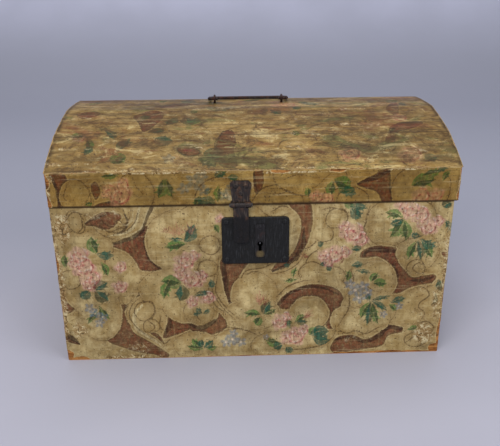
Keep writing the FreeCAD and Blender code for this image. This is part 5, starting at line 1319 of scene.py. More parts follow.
@dataclass(frozen=True)
class FloorFinish:
    """The pale seamless paper that the trunk stands on, with painted shade behind the trunk and painted light up the
    wall.
    """

    colour: tuple[float, float, float] = (168, 167, 179)
    # Painted shade: the darker colour of the floor behind the trunk, also used for its blotches.
    middle: tuple[float, float, float] = (148, 149, 161)
    # Painted light: the lighter colour high on the backdrop.
    wall: tuple[float, float, float] = (204, 205, 226)

    def material(self) -> bpy.types.Material:
        """Makes the material."""
        graph = Graph("studio_paper")
        axes = graph.node("ShaderNodeSeparateXYZ", {0: graph.place}).outputs
        soft = graph.noise(3.0, 3.0)
        fine = graph.noise(900.0, 3.0)
        # Painted shade: darker towards the back of the floor, behind the trunk.
        colour = graph.mix(graph.step(axes[1], -0.2, 0.4), linear(*self.colour),
                           linear(*self.middle))
        # Painted light: lighter high up the backdrop.
        colour = graph.mix(graph.step(axes[2], 0.05, 0.6), colour, linear(*self.wall))
        colour = graph.mix(graph.step(soft, 0.3, 0.7, 0.0, 0.25), colour, linear(*self.middle))
        return graph.finish(colour, 0.8, fine, 0.0001, 0.2)


# The wallpaper sheets


@dataclass
class Sheet:
    """One pasted sheet: a fine grid on the skin, a rim and a plain underside."""

    name: str
    node: str
    body: str
    slot: str
    cells: tuple[int, int]
    seed: int
    thick: float = 0.46
    coarse: int = 10
    windows: tuple[tuple[float, float, float, float], ...] = ()

    def lines(self) -> tuple[Array, Array]:
        """Gives the places of the grid's upright and level lines on the sheet."""
        raise NotImplementedError

    def place(self, u: Array, v: Array) -> tuple[Array, Array]:
        """Gives the place on the trunk and the outward direction of points of the sheet."""
        raise NotImplementedError

    def drawn(self, u: Array, v: Array) -> tuple[Array, Array]:
        """Gives the places of points in millimetres as the print and the wear use them."""
        return u, v

    def printed(self, sheet: Print) -> None:
        """Prints the sheet."""
        raise NotImplementedError

    def used(self, wear: Wear) -> None:
        """Wears the sheet."""

    def snapped(self, marks: Array, low: float, high: float) -> Array:
        """Shifts two coarse lines of the grid onto the edges of a window.

        Args:
            marks: Places of all lines in one direction.
            low: Lower or left edge of the window.
            high: Upper or right edge of the window.

        Returns:
            The places, moved beside the window alone.
        """
        ends = np.arange(0, len(marks), self.coarse)
        held = marks[ends]
        first = int(np.argmin(np.abs(held - low)))
        last = max(first + 1, int(np.argmin(np.abs(held - high))))
        shift = np.zeros(len(held))
        shift[first], shift[last] = low - held[first], high - held[last]
        return marks + np.interp(np.arange(len(marks)), ends, shift)

    def grid(self) -> tuple[Array, Array]:
        """Gives the grid's lines, with coarse lines on the windows' edges."""
        across, up = self.lines()
        for left, right, low, high in self.windows:
            across, up = self.snapped(across, left, right), self.snapped(up, low, high)
        return across, up

    def panel(self) -> bmesh.types.BMesh:
        """Builds the flat sheet in units of its cells, with its underside one unit down.

        Returns:
            The closed flat sheet.
        """
        wide, tall = self.cells
        bm = bmesh.new()
        grow = Matrix.Translation((wide / 2, tall / 2, 0)) @ Matrix.Diagonal((wide, tall, 1, 1))
        bmesh.ops.create_grid(bm, x_segments=wide // self.coarse, y_segments=tall // self.coarse,
                              size=0.5, matrix=grow @ Matrix.Translation((0, 0, -1)))
        self.cut_windows(bm, list(bm.faces))
        rim = [edge for edge in bm.edges if edge.is_boundary]
        bmesh.ops.subdivide_edges(bm, edges=rim, cuts=self.coarse - 1)
        bmesh.ops.reverse_faces(bm, faces=list(bm.faces))
        under = set(bm.faces)
        bmesh.ops.create_grid(bm, x_segments=wide, y_segments=tall, size=0.5, matrix=grow)
        self.cut_windows(bm, [face for face in bm.faces if face not in under])
        rim = [edge for edge in bm.edges if edge.is_boundary and edge.verts[0].co.z > -0.5]
        sides = bmesh.ops.extrude_edge_only(bm, edges=rim)["geom"]
        lowered = [item for item in sides if isinstance(item, bmesh.types.BMVert)]
        bmesh.ops.translate(bm, verts=lowered, vec=(0, 0, -1))
        low = [vert for vert in bm.verts if vert.co.z < -0.5]
        bmesh.ops.remove_doubles(bm, verts=low, dist=0.01)
        bmesh.ops.recalc_face_normals(bm, faces=list(bm.faces))
        return bm

    def cut_windows(self, bm: bmesh.types.BMesh, faces: list[bmesh.types.BMFace]) -> None:
        """Takes out the faces behind the keyhole and like places.

        Args:
            bm: The mesh.
            faces: The faces of one side of the sheet.
        """
        across, up = self.grid()
        for left, right, low, high in self.windows:
            columns = [int(np.argmin(np.abs(across - edge))) for edge in (left, right)]
            rows = [int(np.argmin(np.abs(up - edge))) for edge in (low, high)]
            gone = [face for face in faces if face.is_valid
                    and columns[0] < face.calc_center_median().x < columns[1]
                    and rows[0] < face.calc_center_median().y < rows[1]]
            bmesh.ops.delete(bm, geom=gone, context="FACES")

    def build(self, material: bpy.types.Material) -> bpy.types.Object:
        """Builds, prints and wears the sheet.

        Args:
            material: The finish.

        Returns:
            The sheet, riding on its body in place of the CAD node.
        """
        bm = self.panel()
        mesh = bpy.data.meshes.new(self.name)
        bm.to_mesh(mesh)
        bm.free()
        flat = np.zeros(len(mesh.vertices) * 3, np.float32)
        mesh.vertices.foreach_get("co", flat)
        flat = flat.reshape(-1, 3).astype(float)
        across, up = self.grid()
        u = np.interp(flat[:, 0], np.arange(len(across)), across)
        v = np.interp(flat[:, 1], np.arange(len(up)), up)
        flat_u, flat_v = self.drawn(u, v)
        sheet, wear = Print(flat_u, flat_v, self.seed), Wear(flat_u, flat_v, self.seed)
        self.printed(sheet)
        self.used(wear)
        spot, out = self.place(u, v)
        lift = 0.14 * (cloudy(flat_u, flat_v, 34.0, self.seed + 7, 3) - 0.6)
        lift -= 0.40 * rise(wear.tear, -0.4, 0.5)
        lift = np.where(flat[:, 2] < -0.5, -self.thick, np.maximum(lift, 0.03 - self.thick))
        spot = (spot + out * lift[:, None]) * MM
        mesh.vertices.foreach_set("co", spot.astype(np.float32).ravel())
        layers = [sheet.inks[ink] for ink in Ink]
        columns = {f"print_{key}": layers[3 * i:3 * i + 3] for i, key in enumerate("abcd")}
        columns["wear"] = [wear.tear, wear.scuff, wear.grime_and_seam_shade]
        columns["tone"] = [wear.stain, wear.fade, wear.crease_and_seam_shade]
        for key, parts in columns.items():
            store = mesh.attributes.new(key, "FLOAT_VECTOR", "POINT")
            store.data.foreach_set("vector", np.stack(parts, 1).astype(np.float32).ravel())
        mesh.polygons.foreach_set("use_smooth", np.ones(len(mesh.polygons), bool))
        mesh.set_sharp_from_angle(angle=math.radians(50))
        mesh.update()
        mesh.materials.append(material)
        piece = bpy.data.objects.new(self.name, mesh)
        bpy.context.scene.collection.objects.link(piece)
        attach(piece, self.body)
        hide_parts(self.node)
        log.info("%s: %d faces", self.name, len(mesh.polygons))
        return piece


@dataclass
class WrapSheet(Sheet):
    """A sheet over one long side that folds round both upright corners."""

    side: int = -1
    middle: Point = (0.0, 0.0)
    half_wide: float = 225.0
    half_deep: float = 160.0
    bend: float = 3.0
    fold: float = 14.0
    low: float = 0.8
    high: float = 194.3

    def reach(self) -> tuple[float, float, float]:
        """Gives the half lengths of the flat, of the flat with its bend, and of the whole."""
        flat = self.half_wide - self.bend
        turned = flat + self.bend * math.pi / 2
        return flat, turned, turned + self.fold - self.bend

    def lines(self) -> tuple[Array, Array]:
        """Gives the places of the grid's lines, evenly spaced."""
        whole = self.reach()[2]
        return (np.linspace(-whole, whole, self.cells[0] + 1),
                np.linspace(self.low, self.high, self.cells[1] + 1))

    def place(self, u: Array, v: Array) -> tuple[Array, Array]:
        """Puts the sheet's points on the side, round the bends and on the folds."""
        flat, turned, _ = self.reach()
        sign, far = np.sign(u), np.abs(u)
        angle = np.clip((far - flat) / self.bend, 0.0, math.pi / 2)
        out = np.stack((sign * np.sin(angle), -np.cos(angle), np.zeros_like(u)), 1)
        x = sign * (np.minimum(far, flat) + self.bend * np.sin(angle))
        y = -(self.half_deep - self.bend) - self.bend * np.cos(angle) + np.maximum(far - turned, 0.0)
        turn = -self.side
        spot = np.stack((turn * x + self.middle[0], turn * y + self.middle[1], v), 1)
        return spot, out * (turn, turn, 1)


@dataclass
class EndSheet(Sheet):
    """A flat sheet on one end of the chest, between the folds."""

    side: int = -1
    out_at: float = 225.0
    half_deep: float = 146.0
    low: float = 0.8
    high: float = 194.3

    def lines(self) -> tuple[Array, Array]:
        """Gives the places of the grid's lines, evenly spaced."""
        return (np.linspace(-self.half_deep, self.half_deep, self.cells[0] + 1),
                np.linspace(self.low, self.high, self.cells[1] + 1))

    def place(self, u: Array, v: Array) -> tuple[Array, Array]:
        """Puts the sheet's points on the end."""
        spot = np.stack((np.full_like(u, self.side * (self.out_at - 0.04)), self.side * u, v), 1)
        return spot, np.tile((float(self.side), 0.0, 0.0), (len(u), 1))


@dataclass
class DomeSheet(Sheet):
    """The sheet over the five crowned staves of the dome."""

    left: float = -225.6
    right: float = 229.4
    middle: float = -0.5
    axis: float = -18.22
    radius: float = 299.02
    half_deep: float = 160.5
    rim: float = 233.48
    crown: float = 1.0
    joints: tuple[float, float] = (20.89, 6.963)

    def corners(self) -> Array:
        """Gives the corners of the dome's profile, front to back, as y and z."""
        turns = (-self.joints[0], -self.joints[1], self.joints[1], self.joints[0])
        top = [(self.radius * math.sin(math.radians(t)), self.radius * math.cos(math.radians(t)))
               for t in turns]
        edge = math.sqrt(self.radius**2 - self.half_deep**2)
        low = self.rim - self.axis
        rows = [(-self.half_deep, low), (-self.half_deep, edge), *top,
                (self.half_deep, edge), (self.half_deep, low)]
        return np.array(rows) + (self.middle, self.axis)

    def counts(self) -> tuple[int, ...]:
        """Gives the number of cells on each side of the profile."""
        return (1, 47, 58, 58, 58, 47, 1)

    def lines(self) -> tuple[Array, Array]:
        """Gives the places of the grid's lines, with one on each joint between staves."""
        sizes = np.hypot(*np.diff(self.corners(), axis=0).T)
        ends = np.concatenate(([0.0], np.cumsum(sizes)))
        rows = [np.linspace(ends[i], ends[i + 1], count, endpoint=False)
                for i, count in enumerate(self.counts())]
        return (np.linspace(self.left, self.right, self.cells[0] + 1),
                np.concatenate((*rows, ends[-1:])))

    def place(self, u: Array, v: Array) -> tuple[Array, Array]:
        """Puts the sheet's points on the crowned staves."""
        line = self.corners()
        runs = np.diff(line, axis=0)
        sizes = np.hypot(*runs.T)
        ends = np.concatenate(([0.0], np.cumsum(sizes)))
        part = np.clip(np.searchsorted(ends, v, side="right") - 1, 0, len(sizes) - 1)
        share = (v - ends[part]) / sizes[part]
        sides = np.stack((-runs[:, 1], runs[:, 0]), 1) / sizes[:, None]
        crowns = np.array((0.0, *([self.crown] * (len(sizes) - 2)), 0.0))
        rise_ = 4.0 * crowns[part] * share * (1.0 - share)
        spot = line[part] + runs[part] * share[:, None] + sides[part] * rise_[:, None]
        tilt = 4.0 * crowns[part] * (1.0 - 2.0 * share) / sizes[part]
        out = sides[part] - runs[part] / sizes[part, None] * tilt[:, None]
        out /= np.hypot(out[:, 0], out[:, 1])[:, None]
        zero = np.zeros((len(u), 1))
        return np.hstack((u[:, None], spot)), np.hstack((zero, out))


@dataclass
class LidEndSheet(Sheet):
    """The sheet on one end of the lid, cut to the curve of the dome."""

    side: int = -1
    out_at: float = 225.6
    middle: float = -0.5
    half_deep: float = 160.0
    fold: float = 146.5
    low: float = 194.9
    rim: float = 233.48
    dome: DomeSheet = field(default_factory=lambda: DomeSheet("", "", "", "", (10, 270), 0))

    def lines(self) -> tuple[Array, Array]:
        """Gives the places of the grid's lines, level lines as shares of the height."""
        return (np.linspace(-self.half_deep, self.half_deep, self.cells[0] + 1),
                np.linspace(0.0, 1.0, self.cells[1] + 1))

    def heights(self, u: Array) -> tuple[Array, Array]:
        """Gives the lower and the upper end of the sheet across the trunk."""
        spots, _ = self.dome.place(np.zeros(400), np.linspace(0.6, self.dome.lines()[1][-1] - 0.6, 400))
        order = np.argsort(spots[:, 1])
        top = np.interp(self.side * u + self.middle, spots[order, 1], spots[order, 2]) - 0.5
        low = np.where(np.abs(u) > self.fold, self.rim, self.low)
        return low, np.maximum(top, low + 0.2)

    def drawn(self, u: Array, v: Array) -> tuple[Array, Array]:
        """Gives the height of points in millimetres instead of a share."""
        low, top = self.heights(u)
        return u, low + (top - low) * v

    def place(self, u: Array, v: Array) -> tuple[Array, Array]:
        """Puts the sheet's points on the end of the lid."""
        low, top = self.heights(u)
        x = np.full_like(u, self.side * (abs(self.out_at) - 0.06))
        spot = np.stack((x, self.side * u + self.middle, low + (top - low) * v), 1)
        return spot, np.tile((float(self.side), 0.0, 0.0), (len(u), 1))


@dataclass
class ChestFront(WrapSheet):
    """The front of the chest, with the drawing at its clearest."""

    def printed(self, sheet: Print) -> None:
        """Prints the placed drawing."""
        Layout(sheet).draw()

    def used(self, wear: Wear) -> None:
        """Wears the corners, the foot and the edges as on the real trunk, and paints shade along the top edge in the
        seam under the lid.
        """
        u, v = wear.u, wear.v
        wear.fray(np.abs(np.abs(u) - 224.0) + 0.02 * v, 1.6)
        wear.fray(v - self.low + 0.6, 1.2)
        wear.bite((-223, 5, 8, 10), (-214, 1, 14, 3.5), (-227, 128, 4, 22), (-227, 60, 3, 14),
                  (-228, 100, 3, 12), (160, 0, 60, 2.6), (224, 30, 3, 18), (221, 4, 8, 6),
                  (227, 80, 3, 26), (228, 140, 2.5, 20), (120, 0, 30, 2.2))
        wear.rub((-213, 168, 16, 34, 0.75), (-206, 40, 18, 26, 0.6), (-198, 108, 12, 16, 0.3),
                 (-226, 100, 15, 150, 0.95), (228, 90, 15, 140, 0.95), (-150, 3, 90, 6, 0.6),
                 (206, 26, 24, 26, 0.75), (215, 70, 11, 50, 0.6), (222, 150, 8, 40, 0.5),
                 (200, 84, 14, 14, 0.4), (-170, 8, 50, 8, 0.35), (0, 4, 220, 5, 0.35),
                 (2, 120, 24, 12, 0.25), (120, 20, 30, 10, 0.3), (-140, 14, 80, 13, 0.42),
                 (-165, 184, 60, 12, 0.36), (196, 44, 30, 40, 0.36))
        # Darker places: the corners, the foot, round the lock plate, and at height 194 painted shade with dirt in the
        # seam under the lid.
        wear.darken_spots((-226, 100, 6, 110, 0.8), (227, 80, 6, 110, 0.85), (-150, 4, 80, 6, 0.5),
                  (2, 120, 46, 8, 0.45), (-40, 150, 8, 40, 0.5), (46, 150, 8, 40, 0.5),
                  (0, 194, 230, 3, 0.6), (210, 10, 20, 12, 0.6), (-218, 30, 8, 20, 0.7),
                  (205, 30, 20, 20, 0.35), (-30, 8, 180, 8, 0.35))
        # Painted shade: a dark line along the top edge, in the seam under the lid's band.
        wear.crease_and_seam_shade = np.maximum(wear.crease_and_seam_shade, rise(-np.abs(self.high - v), -1.6, -0.4))
        foot = 10.0 + 1.5 * np.sin(u / 40.0)
        wear.crease_and_seam_shade = np.maximum(wear.crease_and_seam_shade, rise(-np.abs(v - foot), -1.0, -0.2) * 0.35)


@dataclass
class RepeatWrap(WrapSheet):
    """A long side that repeats the drawing with another start."""

    shifts: tuple[Point, ...] = ((0.0, 0.0),)

    def printed(self, sheet: Print) -> None:
        """Prints the repeats of the drawing."""
        RepeatLayout(sheet, self.shifts).draw()

    def used(self, wear: Wear) -> None:
        """Wears the corners and the foot."""
        tall = self.high - self.low
        wear.fray(np.abs(np.abs(wear.u) - self.half_wide + 1.0) + 0.01 * tall, 1.3)
        wear.fray(wear.v - self.low + 0.6, 0.9)
        wear.rub((-self.half_wide, self.low + 0.3 * tall, 12, 0.3 * tall, 0.6),
                 (self.half_wide, self.low + 0.4 * tall, 12, 0.4 * tall, 0.6))
        # Darker bands along the foot and the top edge; where an edge lies at the lid seam its band is painted shade
        # with dirt.
        wear.darken_spots((0, self.low, self.half_wide, 6, 0.6), (0, self.high, self.half_wide, 4, 0.6),
                  (-self.half_wide, self.low + 0.5 * tall, 8, tall, 0.7),
                  (self.half_wide, self.low + 0.5 * tall, 8, tall, 0.7))


@dataclass
class LidFront(WrapSheet):
    """The front of the lid's band."""

    def printed(self, sheet: Print) -> None:
        """Prints the band's part of the drawing."""
        BandLayout(sheet).draw()

    def used(self, wear: Wear) -> None:
        """Wears the top edge, where the dome's sheet meets it, and the corners, and paints shade along the foot in the
        seam over the chest.
        """
        wear.fray(np.abs(np.abs(wear.u) - self.half_wide + 1.0), 1.5)
        wear.fray(self.high - wear.v + 0.4, 0.8)
        wear.bite((-229, 222, 6, 6), (230, 226, 5, 6), (-228, 200, 4, 8), (28, 233, 10, 2.2),
                  (90, 233, 8, 2.0), (229, 204, 4, 8))
        wear.rub((40, 231, 60, 2.5, 0.9), (-100, 232, 120, 1.6, 0.8), (160, 232, 60, 1.8, 0.7),
                 (-226, 214, 8, 30, 0.8), (228, 214, 7, 30, 0.85),
                 (-222, 226, 10, 10, 0.7), (-5, 215, 8, 14, 0.5), (-28, 204, 14, 12, 0.6))
        # The band at height 196 is painted shade with dirt in the seam over the chest.
        wear.darken_spots((0, 196, 230, 3, 0.75), (-226, 214, 6, 22, 0.8), (226, 214, 6, 22, 0.8),
                  (-16, 212, 18, 18, 0.4), (150, 206, 60, 14, 0.3), (-110, 206, 60, 14, 0.3))
        wear.crease_and_seam_shade = np.maximum(wear.crease_and_seam_shade, rise(-np.abs(wear.v - 229.5), -0.8, -0.2) * 0.5)
        # Painted shade: a dark line along the foot of the band, in the seam over the chest.
        wear.crease_and_seam_shade = np.maximum(wear.crease_and_seam_shade, rise(-np.abs(wear.v - self.low), -2.0, -0.6))
        wear.stain = np.maximum(wear.stain, 0.6)


@dataclass
class TrunkEnd(EndSheet):
    """An end of the chest."""

    shifts: tuple[Point, ...] = ((0.0, 0.0),)

    def printed(self, sheet: Print) -> None:
        """Prints the repeats of the drawing."""
        RepeatLayout(sheet, self.shifts).draw()

    def used(self, wear: Wear) -> None:
        """Wears the foot and the seams."""
        wear.fray(wear.v - self.low + 0.6, 1.0)
        wear.rub((0, 60, 60, 14, 0.35), (-60, 10, 40, 10, 0.5), (90, 120, 30, 20, 0.3))
        # Darker bands along the foot and the top edge; the top one is painted shade with dirt in the seam under the
        # lid.
        wear.darken_spots((0, self.low, self.half_deep, 8, 0.6), (0, self.high, self.half_deep, 4, 0.6),
                  (-self.half_deep, 100, 5, 110, 0.6), (self.half_deep, 100, 5, 110, 0.6))


@dataclass
class LidEnd(LidEndSheet):
    """An end of the lid."""

    shifts: tuple[Point, ...] = ((0.0, 0.0),)

    def printed(self, sheet: Print) -> None:
        """Prints the repeats of the drawing."""
        RepeatLayout(sheet, self.shifts).draw()

    def used(self, wear: Wear) -> None:
        """Wears the curved edge and the foot."""
        _, top = self.heights(wear.u)
        wear.fray(top - wear.v + 0.4, 1.3)
        wear.fray(wear.v - self.low + 0.5, 0.9)
        wear.rub((0, 262, 90, 12, 0.5), (-60, 212, 40, 12, 0.35))
        # The band along the foot is painted shade with dirt in the seam over the chest.
        wear.darken_spots((0, self.low, self.half_deep, 5, 0.6), (0, 278, 120, 12, 0.6))


@dataclass
class Dome(DomeSheet):
    """The dome: rubbed, dirty and streaked along the staves."""

    def printed(self, sheet: Print) -> None:
        """Prints the faded drawing."""
        DomeLayout(sheet).draw()

    def used(self, wear: Wear) -> None:
        """Wears the dome: streaks of dirt, stave joints and the rubbed front edge."""
        u, v = wear.u, wear.v
        ends = np.concatenate(([0.0], np.cumsum(np.hypot(*np.diff(self.corners(), axis=0).T))))
        along = cloudy(u / 7.0, v, 15.0, self.seed + 60, 4)
        broad = cloudy(u / 2.2, v, 46.0, self.seed + 61, 4)
        wear.stain = rise(broad, 0.3, 0.6)
        wear.fade = 0.05 + 0.3 * rise(along, 0.4, 0.7)
        fine = cloudy(u / 9.0, v, 7.0, self.seed + 62, 4)
        wear.grime_and_seam_shade = 0.6 * rise(0.35 * along + 0.3 * broad + 0.35 * fine, 0.43, 0.6)
        wear.scuff = np.maximum(wear.scuff, 0.4 * rise(1.0 - fine, 0.5, 0.72))
        wear.grime_and_seam_shade = np.maximum(wear.grime_and_seam_shade, 0.95 * rise(-np.minimum(u - self.left, self.right - u),
                                                        -8.0, -2.0))
        for joint in ends[2:-2]:
            wear.crease_and_seam_shade = np.maximum(wear.crease_and_seam_shade, rise(-np.abs(v - joint), -1.6, -0.2)
                                     * rise(along, 0.35, 0.6) * 0.9)
            wear.grime_and_seam_shade = np.maximum(wear.grime_and_seam_shade, 0.5 * rise(-np.abs(v - joint - 3.0), -6.0, 0.0))
        wear.fray(np.abs(u - self.left), 0.8)
        wear.fray(np.abs(self.right - u), 0.8)
        wear.fray(v + 0.3, 0.9)
        wear.fray(ends[-1] - v, 1.0)
        wear.rub((60, 3, 60, 2.5, 0.6), (-120, 2, 110, 1.6, 0.5), (170, 2, 60, 2, 0.5),
                 (46, 168, 10, 10, 0.5), (70, 60, 60, 30, 0.32), (130, 60, 40, 36, 0.32),
                 (-150, 130, 50, 24, 0.3), (190, 30, 30, 24, 0.35))
        wear.darken_spots((-150, 170, 100, 34, 0.6), (-90, 190, 60, 14, 0.7), (-60, 50, 90, 44, 0.4), (200, 110, 40, 60, 0.45),
                  (110, 150, 60, 24, 0.4), (-190, 30, 50, 40, 0.45), (0, 110, 60, 20, 0.4),
                  (-110, 90, 50, 24, 0.45), (0, 230, 240, 50, 0.45), (0, 320, 240, 30, 0.5),
                  (-30, 14, 120, 16, 0.4))


# Sub-assemblies


@dataclass
class Chest:
    """The chest: its papered boards, its bare pine and its nails."""

    long_boards: tuple[str, ...] = ("front_board", "back_board", "bottom_board")
    end_boards: tuple[str, ...] = ("left_end_board", "right_end_board")
    bend: float = 3.0
    groove_side: float = 1.7
    groove_below: float = 8.0

    def groove(self) -> tuple[float, float, float, float]:
        """Gives the window over the groove that the staple leaves by: left, right, low, high."""
        low, high = node_span("hasp_staple")
        return (low.x - self.groove_side, high.x + self.groove_side,
                (low.z + high.z) / 2 - self.groove_below, node_span("front_wallpaper")[1].z)

    def sheets(self) -> list[Sheet]:
        """Gives the four sheets of the chest, sized from the CAD nodes."""
        low, high = node_span("front_wallpaper")
        end_low, end_high = node_span("right_wallpaper")
        facts = {"half_wide": high.x, "half_deep": -low.y, "bend": self.bend,
                 "fold": high.y - low.y, "low": low.z, "high": high.z}
        ends = {"out_at": end_high.x, "half_deep": end_high.y, "low": end_low.z,
                "high": end_high.z}
        return [
            ChestFront("front_paper", "front_wallpaper", "chest", "chest_paper", (460, 190), 11,
                       windows=((-1, 15, 136, 156), self.groove()), coarse=5, side=-1, **facts),
            RepeatWrap("back_paper", "back_wallpaper", "chest", "chest_paper", (360, 150), 23,
                       side=1, shifts=((140.0, 0.0), (-310.0, 0.0)), **facts),
            TrunkEnd("left_paper", "left_wallpaper", "chest", "chest_paper", (220, 150), 31,
                     side=-1, shifts=((70.0, 0.0),), **ends),
            TrunkEnd("right_paper", "right_wallpaper", "chest", "chest_paper", (220, 150), 37,
                     side=1, shifts=((-70.0, 0.0),), **ends),
        ]

    def build(self) -> None:
        """Builds the sheets and dresses the bare boards."""
        paper = PaperFinish("chest_wallpaper").material()
        for sheet in self.sheets():
            sheet.build(paper)
        dress(self.long_boards, PineFinish("chest_pine_long", (0.06, 1.0, 1.0)).material())
        dress(self.end_boards, PineFinish("chest_pine_ends", (1.0, 0.06, 1.0)).material())
        dress(("carcass_nails",), IronFinish("carcass_nail_iron", rusty=0.9).material())


@dataclass
class Lid:
    """The lid: its dome of staves, its band and their papers."""

    rails: tuple[str, ...] = ("lid_front_rail", "lid_back_rail")
    ends: tuple[str, ...] = ("lid_left_end", "lid_right_end")
    staves: tuple[str, ...] = tuple(f"dome_stave_{i}" for i in range(1, 6))
    bend: float = 3.0

    def sheets(self) -> list[tuple[Sheet, PaperFinish]]:
        """Gives the five sheets of the lid with their finishes."""
        low, high = node_span("lid_front_wallpaper")
        dome_low, dome_high = node_span("dome_wallpaper")
        middle = ((low.x + high.x) / 2, (dome_low.y + dome_high.y) / 2)
        half_deep = (dome_high.y - dome_low.y) / 2
        facts = {"middle": middle, "half_wide": (high.x - low.x) / 2, "half_deep": half_deep,
                 "bend": self.bend, "fold": high.y - low.y, "low": low.z, "high": high.z}
        band = PaperFinish("band_wallpaper", varnish=(223, 206, 162),
                           soot_and_shade=(54, 38, 20), strength=0.95, streaks=(0.06, 1.0, 1.0),
                           streak_share=0.35, gloss=0.42)
        dome = PaperFinish("dome_wallpaper_worn", washed=0.6, varnish=(216, 202, 172),
                           soot_and_shade=(60, 44, 26), strength=0.96, streaks=(0.05, 1.0, 1.0),
                           streak_share=0.4, gloss=0.42, crazed=0.75)
        ends = {"middle": middle[1], "half_deep": half_deep - 0.5, "low": low.z}
        return [
            (LidFront("lid_front_paper", "lid_front_wallpaper", "lid", "lid_paper", (400, 40), 41,
                      side=-1, **facts), band),
            (RepeatWrap("lid_back_paper", "lid_back_wallpaper", "lid", "lid_paper", (300, 30), 43,
                        side=1, shifts=((60.0, 130.0), (-390.0, 130.0)), **facts), band),
            (LidEnd("lid_left_paper", "lid_left_wallpaper", "lid", "lid_paper", (240, 60), 47,
                    side=-1, out_at=low.x, shifts=((40.0, 120.0),), **ends), band),
            (LidEnd("lid_right_paper", "lid_right_wallpaper", "lid", "lid_paper", (240, 60), 53,
                    side=1, out_at=high.x, shifts=((-60.0, 120.0),), **ends), band),
            (Dome("dome_paper", "dome_wallpaper", "lid", "dome_paper", (350, 270), 59,
                  left=dome_low.x, right=dome_high.x, middle=middle[1], half_deep=half_deep,
                  rim=dome_low.z), dome),
        ]

    def build(self) -> None:
        """Builds the sheets and dresses the bare wood."""
        made: dict[str, bpy.types.Material] = {}
        for sheet, finish in self.sheets():
            if finish.name not in made:
                made[finish.name] = finish.material()
            sheet.build(made[finish.name])
        dress(self.rails, PineFinish("lid_pine_rails", (0.06, 1.0, 1.0)).material())
        dress(self.staves, PineFinish("lid_pine_staves", (0.05, 1.0, 1.0), 0.7).material())
        dress(self.ends, PineFinish("lid_pine_ends", (1.0, 0.06, 1.0)).material())
        dress(("lid_nails",), IronFinish("lid_nail_iron", rusty=0.9).material())


@dataclass
class Ironwork:
    """The lock, the hasp, the hinges and the handle."""

    lock: tuple[str, ...] = ("lock_plate", "lock_case", "lock_nails", "lock_bolt")
    hasp: tuple[str, ...] = ("hasp_plate", "hasp_strap", "hasp_staple", "hasp_nails")
    hinges: tuple[str, ...] = (
        "left_hinge_lower_leaf", "right_hinge_lower_leaf", "left_hinge_upper_leaf",
        "right_hinge_upper_leaf", "lower_hinge_nails", "upper_hinge_nails")
    handle: tuple[str, ...] = ("bail_handle", "left_handle_eye", "right_handle_eye")
    pins: tuple[str, ...] = ("left_hinge_pin", "right_hinge_pin", "hasp_pin", "lock_drill_pin",
                             "lock_spring")

    def build(self) -> None:
        """Dresses the ironwork."""
        dress(self.lock, IronFinish("lock_iron_black", black=(8, 8, 8), rust=(28, 22, 20),
                                    sheen=(50, 51, 54), rusty=0.2, worn=0.5, rough=0.56,
                                    metal=0.0).material())
        dress(("keyhole_escutcheon", "escutcheon_rivets"), IronFinish(
            "escutcheon_iron", black=(32, 30, 31), rust=(56, 42, 40), sheen=(78, 78, 80),
            rusty=0.3, worn=0.4, rough=0.46, metal=0.4, spot=(7.1, -164.2, 136.5)).material())
        dress(self.hasp, IronFinish("hasp_iron_brown", black=(42, 36, 34), rust=(84, 58, 42),
                                    sheen=(104, 92, 80), rusty=0.55, worn=0.6, rough=0.4,
                                    metal=0.3, black_below=181.0).material())
        dress(self.hinges, IronFinish("hinge_iron_dark", rusty=0.5).material())
        dress(self.handle, IronFinish("handle_iron_rubbed", black=(44, 36, 36),
                                      rust=(80, 50, 40), rusty=0.6, worn=0.3,
                                      rough=0.45).material())
        dress(self.pins, IronFinish("pin_steel_grey", black=(70, 68, 68), rust=(96, 72, 54),
                                    sheen=(150, 150, 152), rusty=0.3, worn=0.6, rough=0.4,
                                    metal=0.8).material())


def dress(names: Iterable[str], material: bpy.types.Material) -> None:
    """Gives CAD nodes a finish in each of their material slots.

    Args:
        names: The CAD nodes.
        material: The finish.
    """
    for name in names:
        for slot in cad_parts[name].material_slots:
            slot.material = material
        log.info("%s: %s", name, material.name)


# Studio


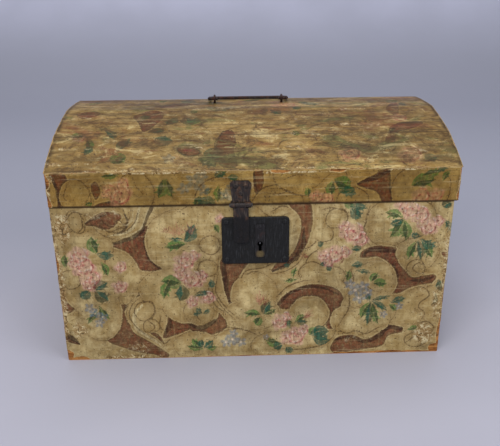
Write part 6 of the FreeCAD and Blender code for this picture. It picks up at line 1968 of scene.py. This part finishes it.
@dataclass
class Studio:
    """The pale seamless paper, the soft lights and the camera."""

    wide: float = 9.0
    front: float = -4.0
    back: float = 1.5
    curve: float = 1.2
    tall: float = 4.0
    spot: tuple[float, float, float] = (-0.02322, -0.80762, 0.41633)
    yaw: float = -0.02965
    pitch: float = 0.35995
    roll: float = -0.00822
    lens: float = 44.64

    def sweep(self) -> None:
        """Builds the floor that curves up into the backdrop."""
        bm = bmesh.new()
        bmesh.ops.create_grid(bm, x_segments=2, y_segments=60, size=0.5)
        flat = self.back - self.front
        quarter = self.curve * math.pi / 2
        whole = flat + quarter + self.tall
        for vert in bm.verts:
            run = (vert.co.y + 0.5) * whole
            angle = min(max((run - flat) / self.curve, 0.0), math.pi / 2)
            y = self.front + min(run, flat) + self.curve * math.sin(angle)
            z = self.curve * (1 - math.cos(angle)) + max(run - flat - quarter, 0.0)
            vert.co = (vert.co.x * self.wide, y, z)
        mesh = bpy.data.meshes.new("studio_sweep")
        bm.to_mesh(mesh)
        bm.free()
        mesh.polygons.foreach_set("use_smooth", np.ones(len(mesh.polygons), bool))
        mesh.materials.append(FloorFinish().material())
        floor = bpy.data.objects.new("studio_sweep", mesh)
        bpy.context.scene.collection.objects.link(floor)

    def lamp(self, name: str, spot: tuple[float, float, float], aim: tuple[float, float, float],
             size: float, power: float, colour: tuple[float, float, float]) -> None:
        """Adds a square soft light.

        Args:
            name: Name of the light.
            spot: Where it stands, in metres.
            aim: What it points at, in metres.
            size: Length of its side, in metres.
            power: Power in watts.
            colour: Colour of its light.
        """
        data = bpy.data.lights.new(name, "AREA")
        data.shape, data.size, data.energy, data.color = "SQUARE", size, power, colour
        lamp = bpy.data.objects.new(name, data)
        lamp.location = spot
        lamp.rotation_euler = (Vector(aim) - Vector(spot)).to_track_quat("-Z", "Y").to_euler()
        bpy.context.scene.collection.objects.link(lamp)

    def lights(self) -> None:
        """Adds the soft lights and the even light of the room."""
        self.lamp("key_light", (-1.2, -2.2, 2.4), (0.0, 0.0, 0.15), 1.8, 60.0, (1.0, 0.98, 0.95))
        self.lamp("fill_light", (1.9, -1.6, 1.6), (0.0, 0.0, 0.15), 1.6, 26.0, (0.97, 0.98, 1.0))
        self.lamp("top_light", (0.0, 0.3, 2.8), (0.0, 0.0, 0.1), 2.0, 30.0, (0.97, 0.98, 1.0))
        world = bpy.data.worlds.new("room")
        world.use_nodes = True
        sky = world.node_tree.nodes["Background"]
        sky.inputs[0].default_value = (0.80, 0.83, 0.90, 1.0)
        sky.inputs[1].default_value = 0.55
        bpy.context.scene.world = world
        bpy.context.scene.view_settings.view_transform = "Standard"

    def camera(self) -> None:
        """Places the camera at the photograph's viewing angle."""
        aside = Vector((math.cos(self.yaw), math.sin(self.yaw), 0.0))
        ahead = Vector((-math.sin(self.yaw) * math.cos(self.pitch),
                        math.cos(self.yaw) * math.cos(self.pitch), -math.sin(self.pitch)))
        above = aside.cross(ahead)
        right = aside * math.cos(self.roll) + above * math.sin(self.roll)
        top = above * math.cos(self.roll) - aside * math.sin(self.roll)
        data = bpy.data.cameras.new("photo_camera")
        data.lens, data.sensor_width, data.sensor_fit = self.lens, 36.0, "HORIZONTAL"
        camera = bpy.data.objects.new("photo_camera", data)
        turn = Matrix((right, top, -ahead)).transposed().to_4x4()
        camera.matrix_world = Matrix.Translation(self.spot) @ turn
        bpy.context.scene.collection.objects.link(camera)
        bpy.context.scene.camera = camera

    def build(self) -> None:
        """Builds the studio."""
        self.camera()
        self.sweep()
        self.lights()


def main() -> None:
    """Builds the studio, the chest, the lid and the ironwork in order."""
    logging.basicConfig(level=logging.INFO, format="%(message)s")
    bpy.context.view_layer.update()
    for part in (Studio(), Chest(), Lid(), Ironwork()):
        part.build()
        log.info("%s is built", type(part).__name__)
    bpy.context.view_layer.update()


if __name__ == "__main__":
    main()
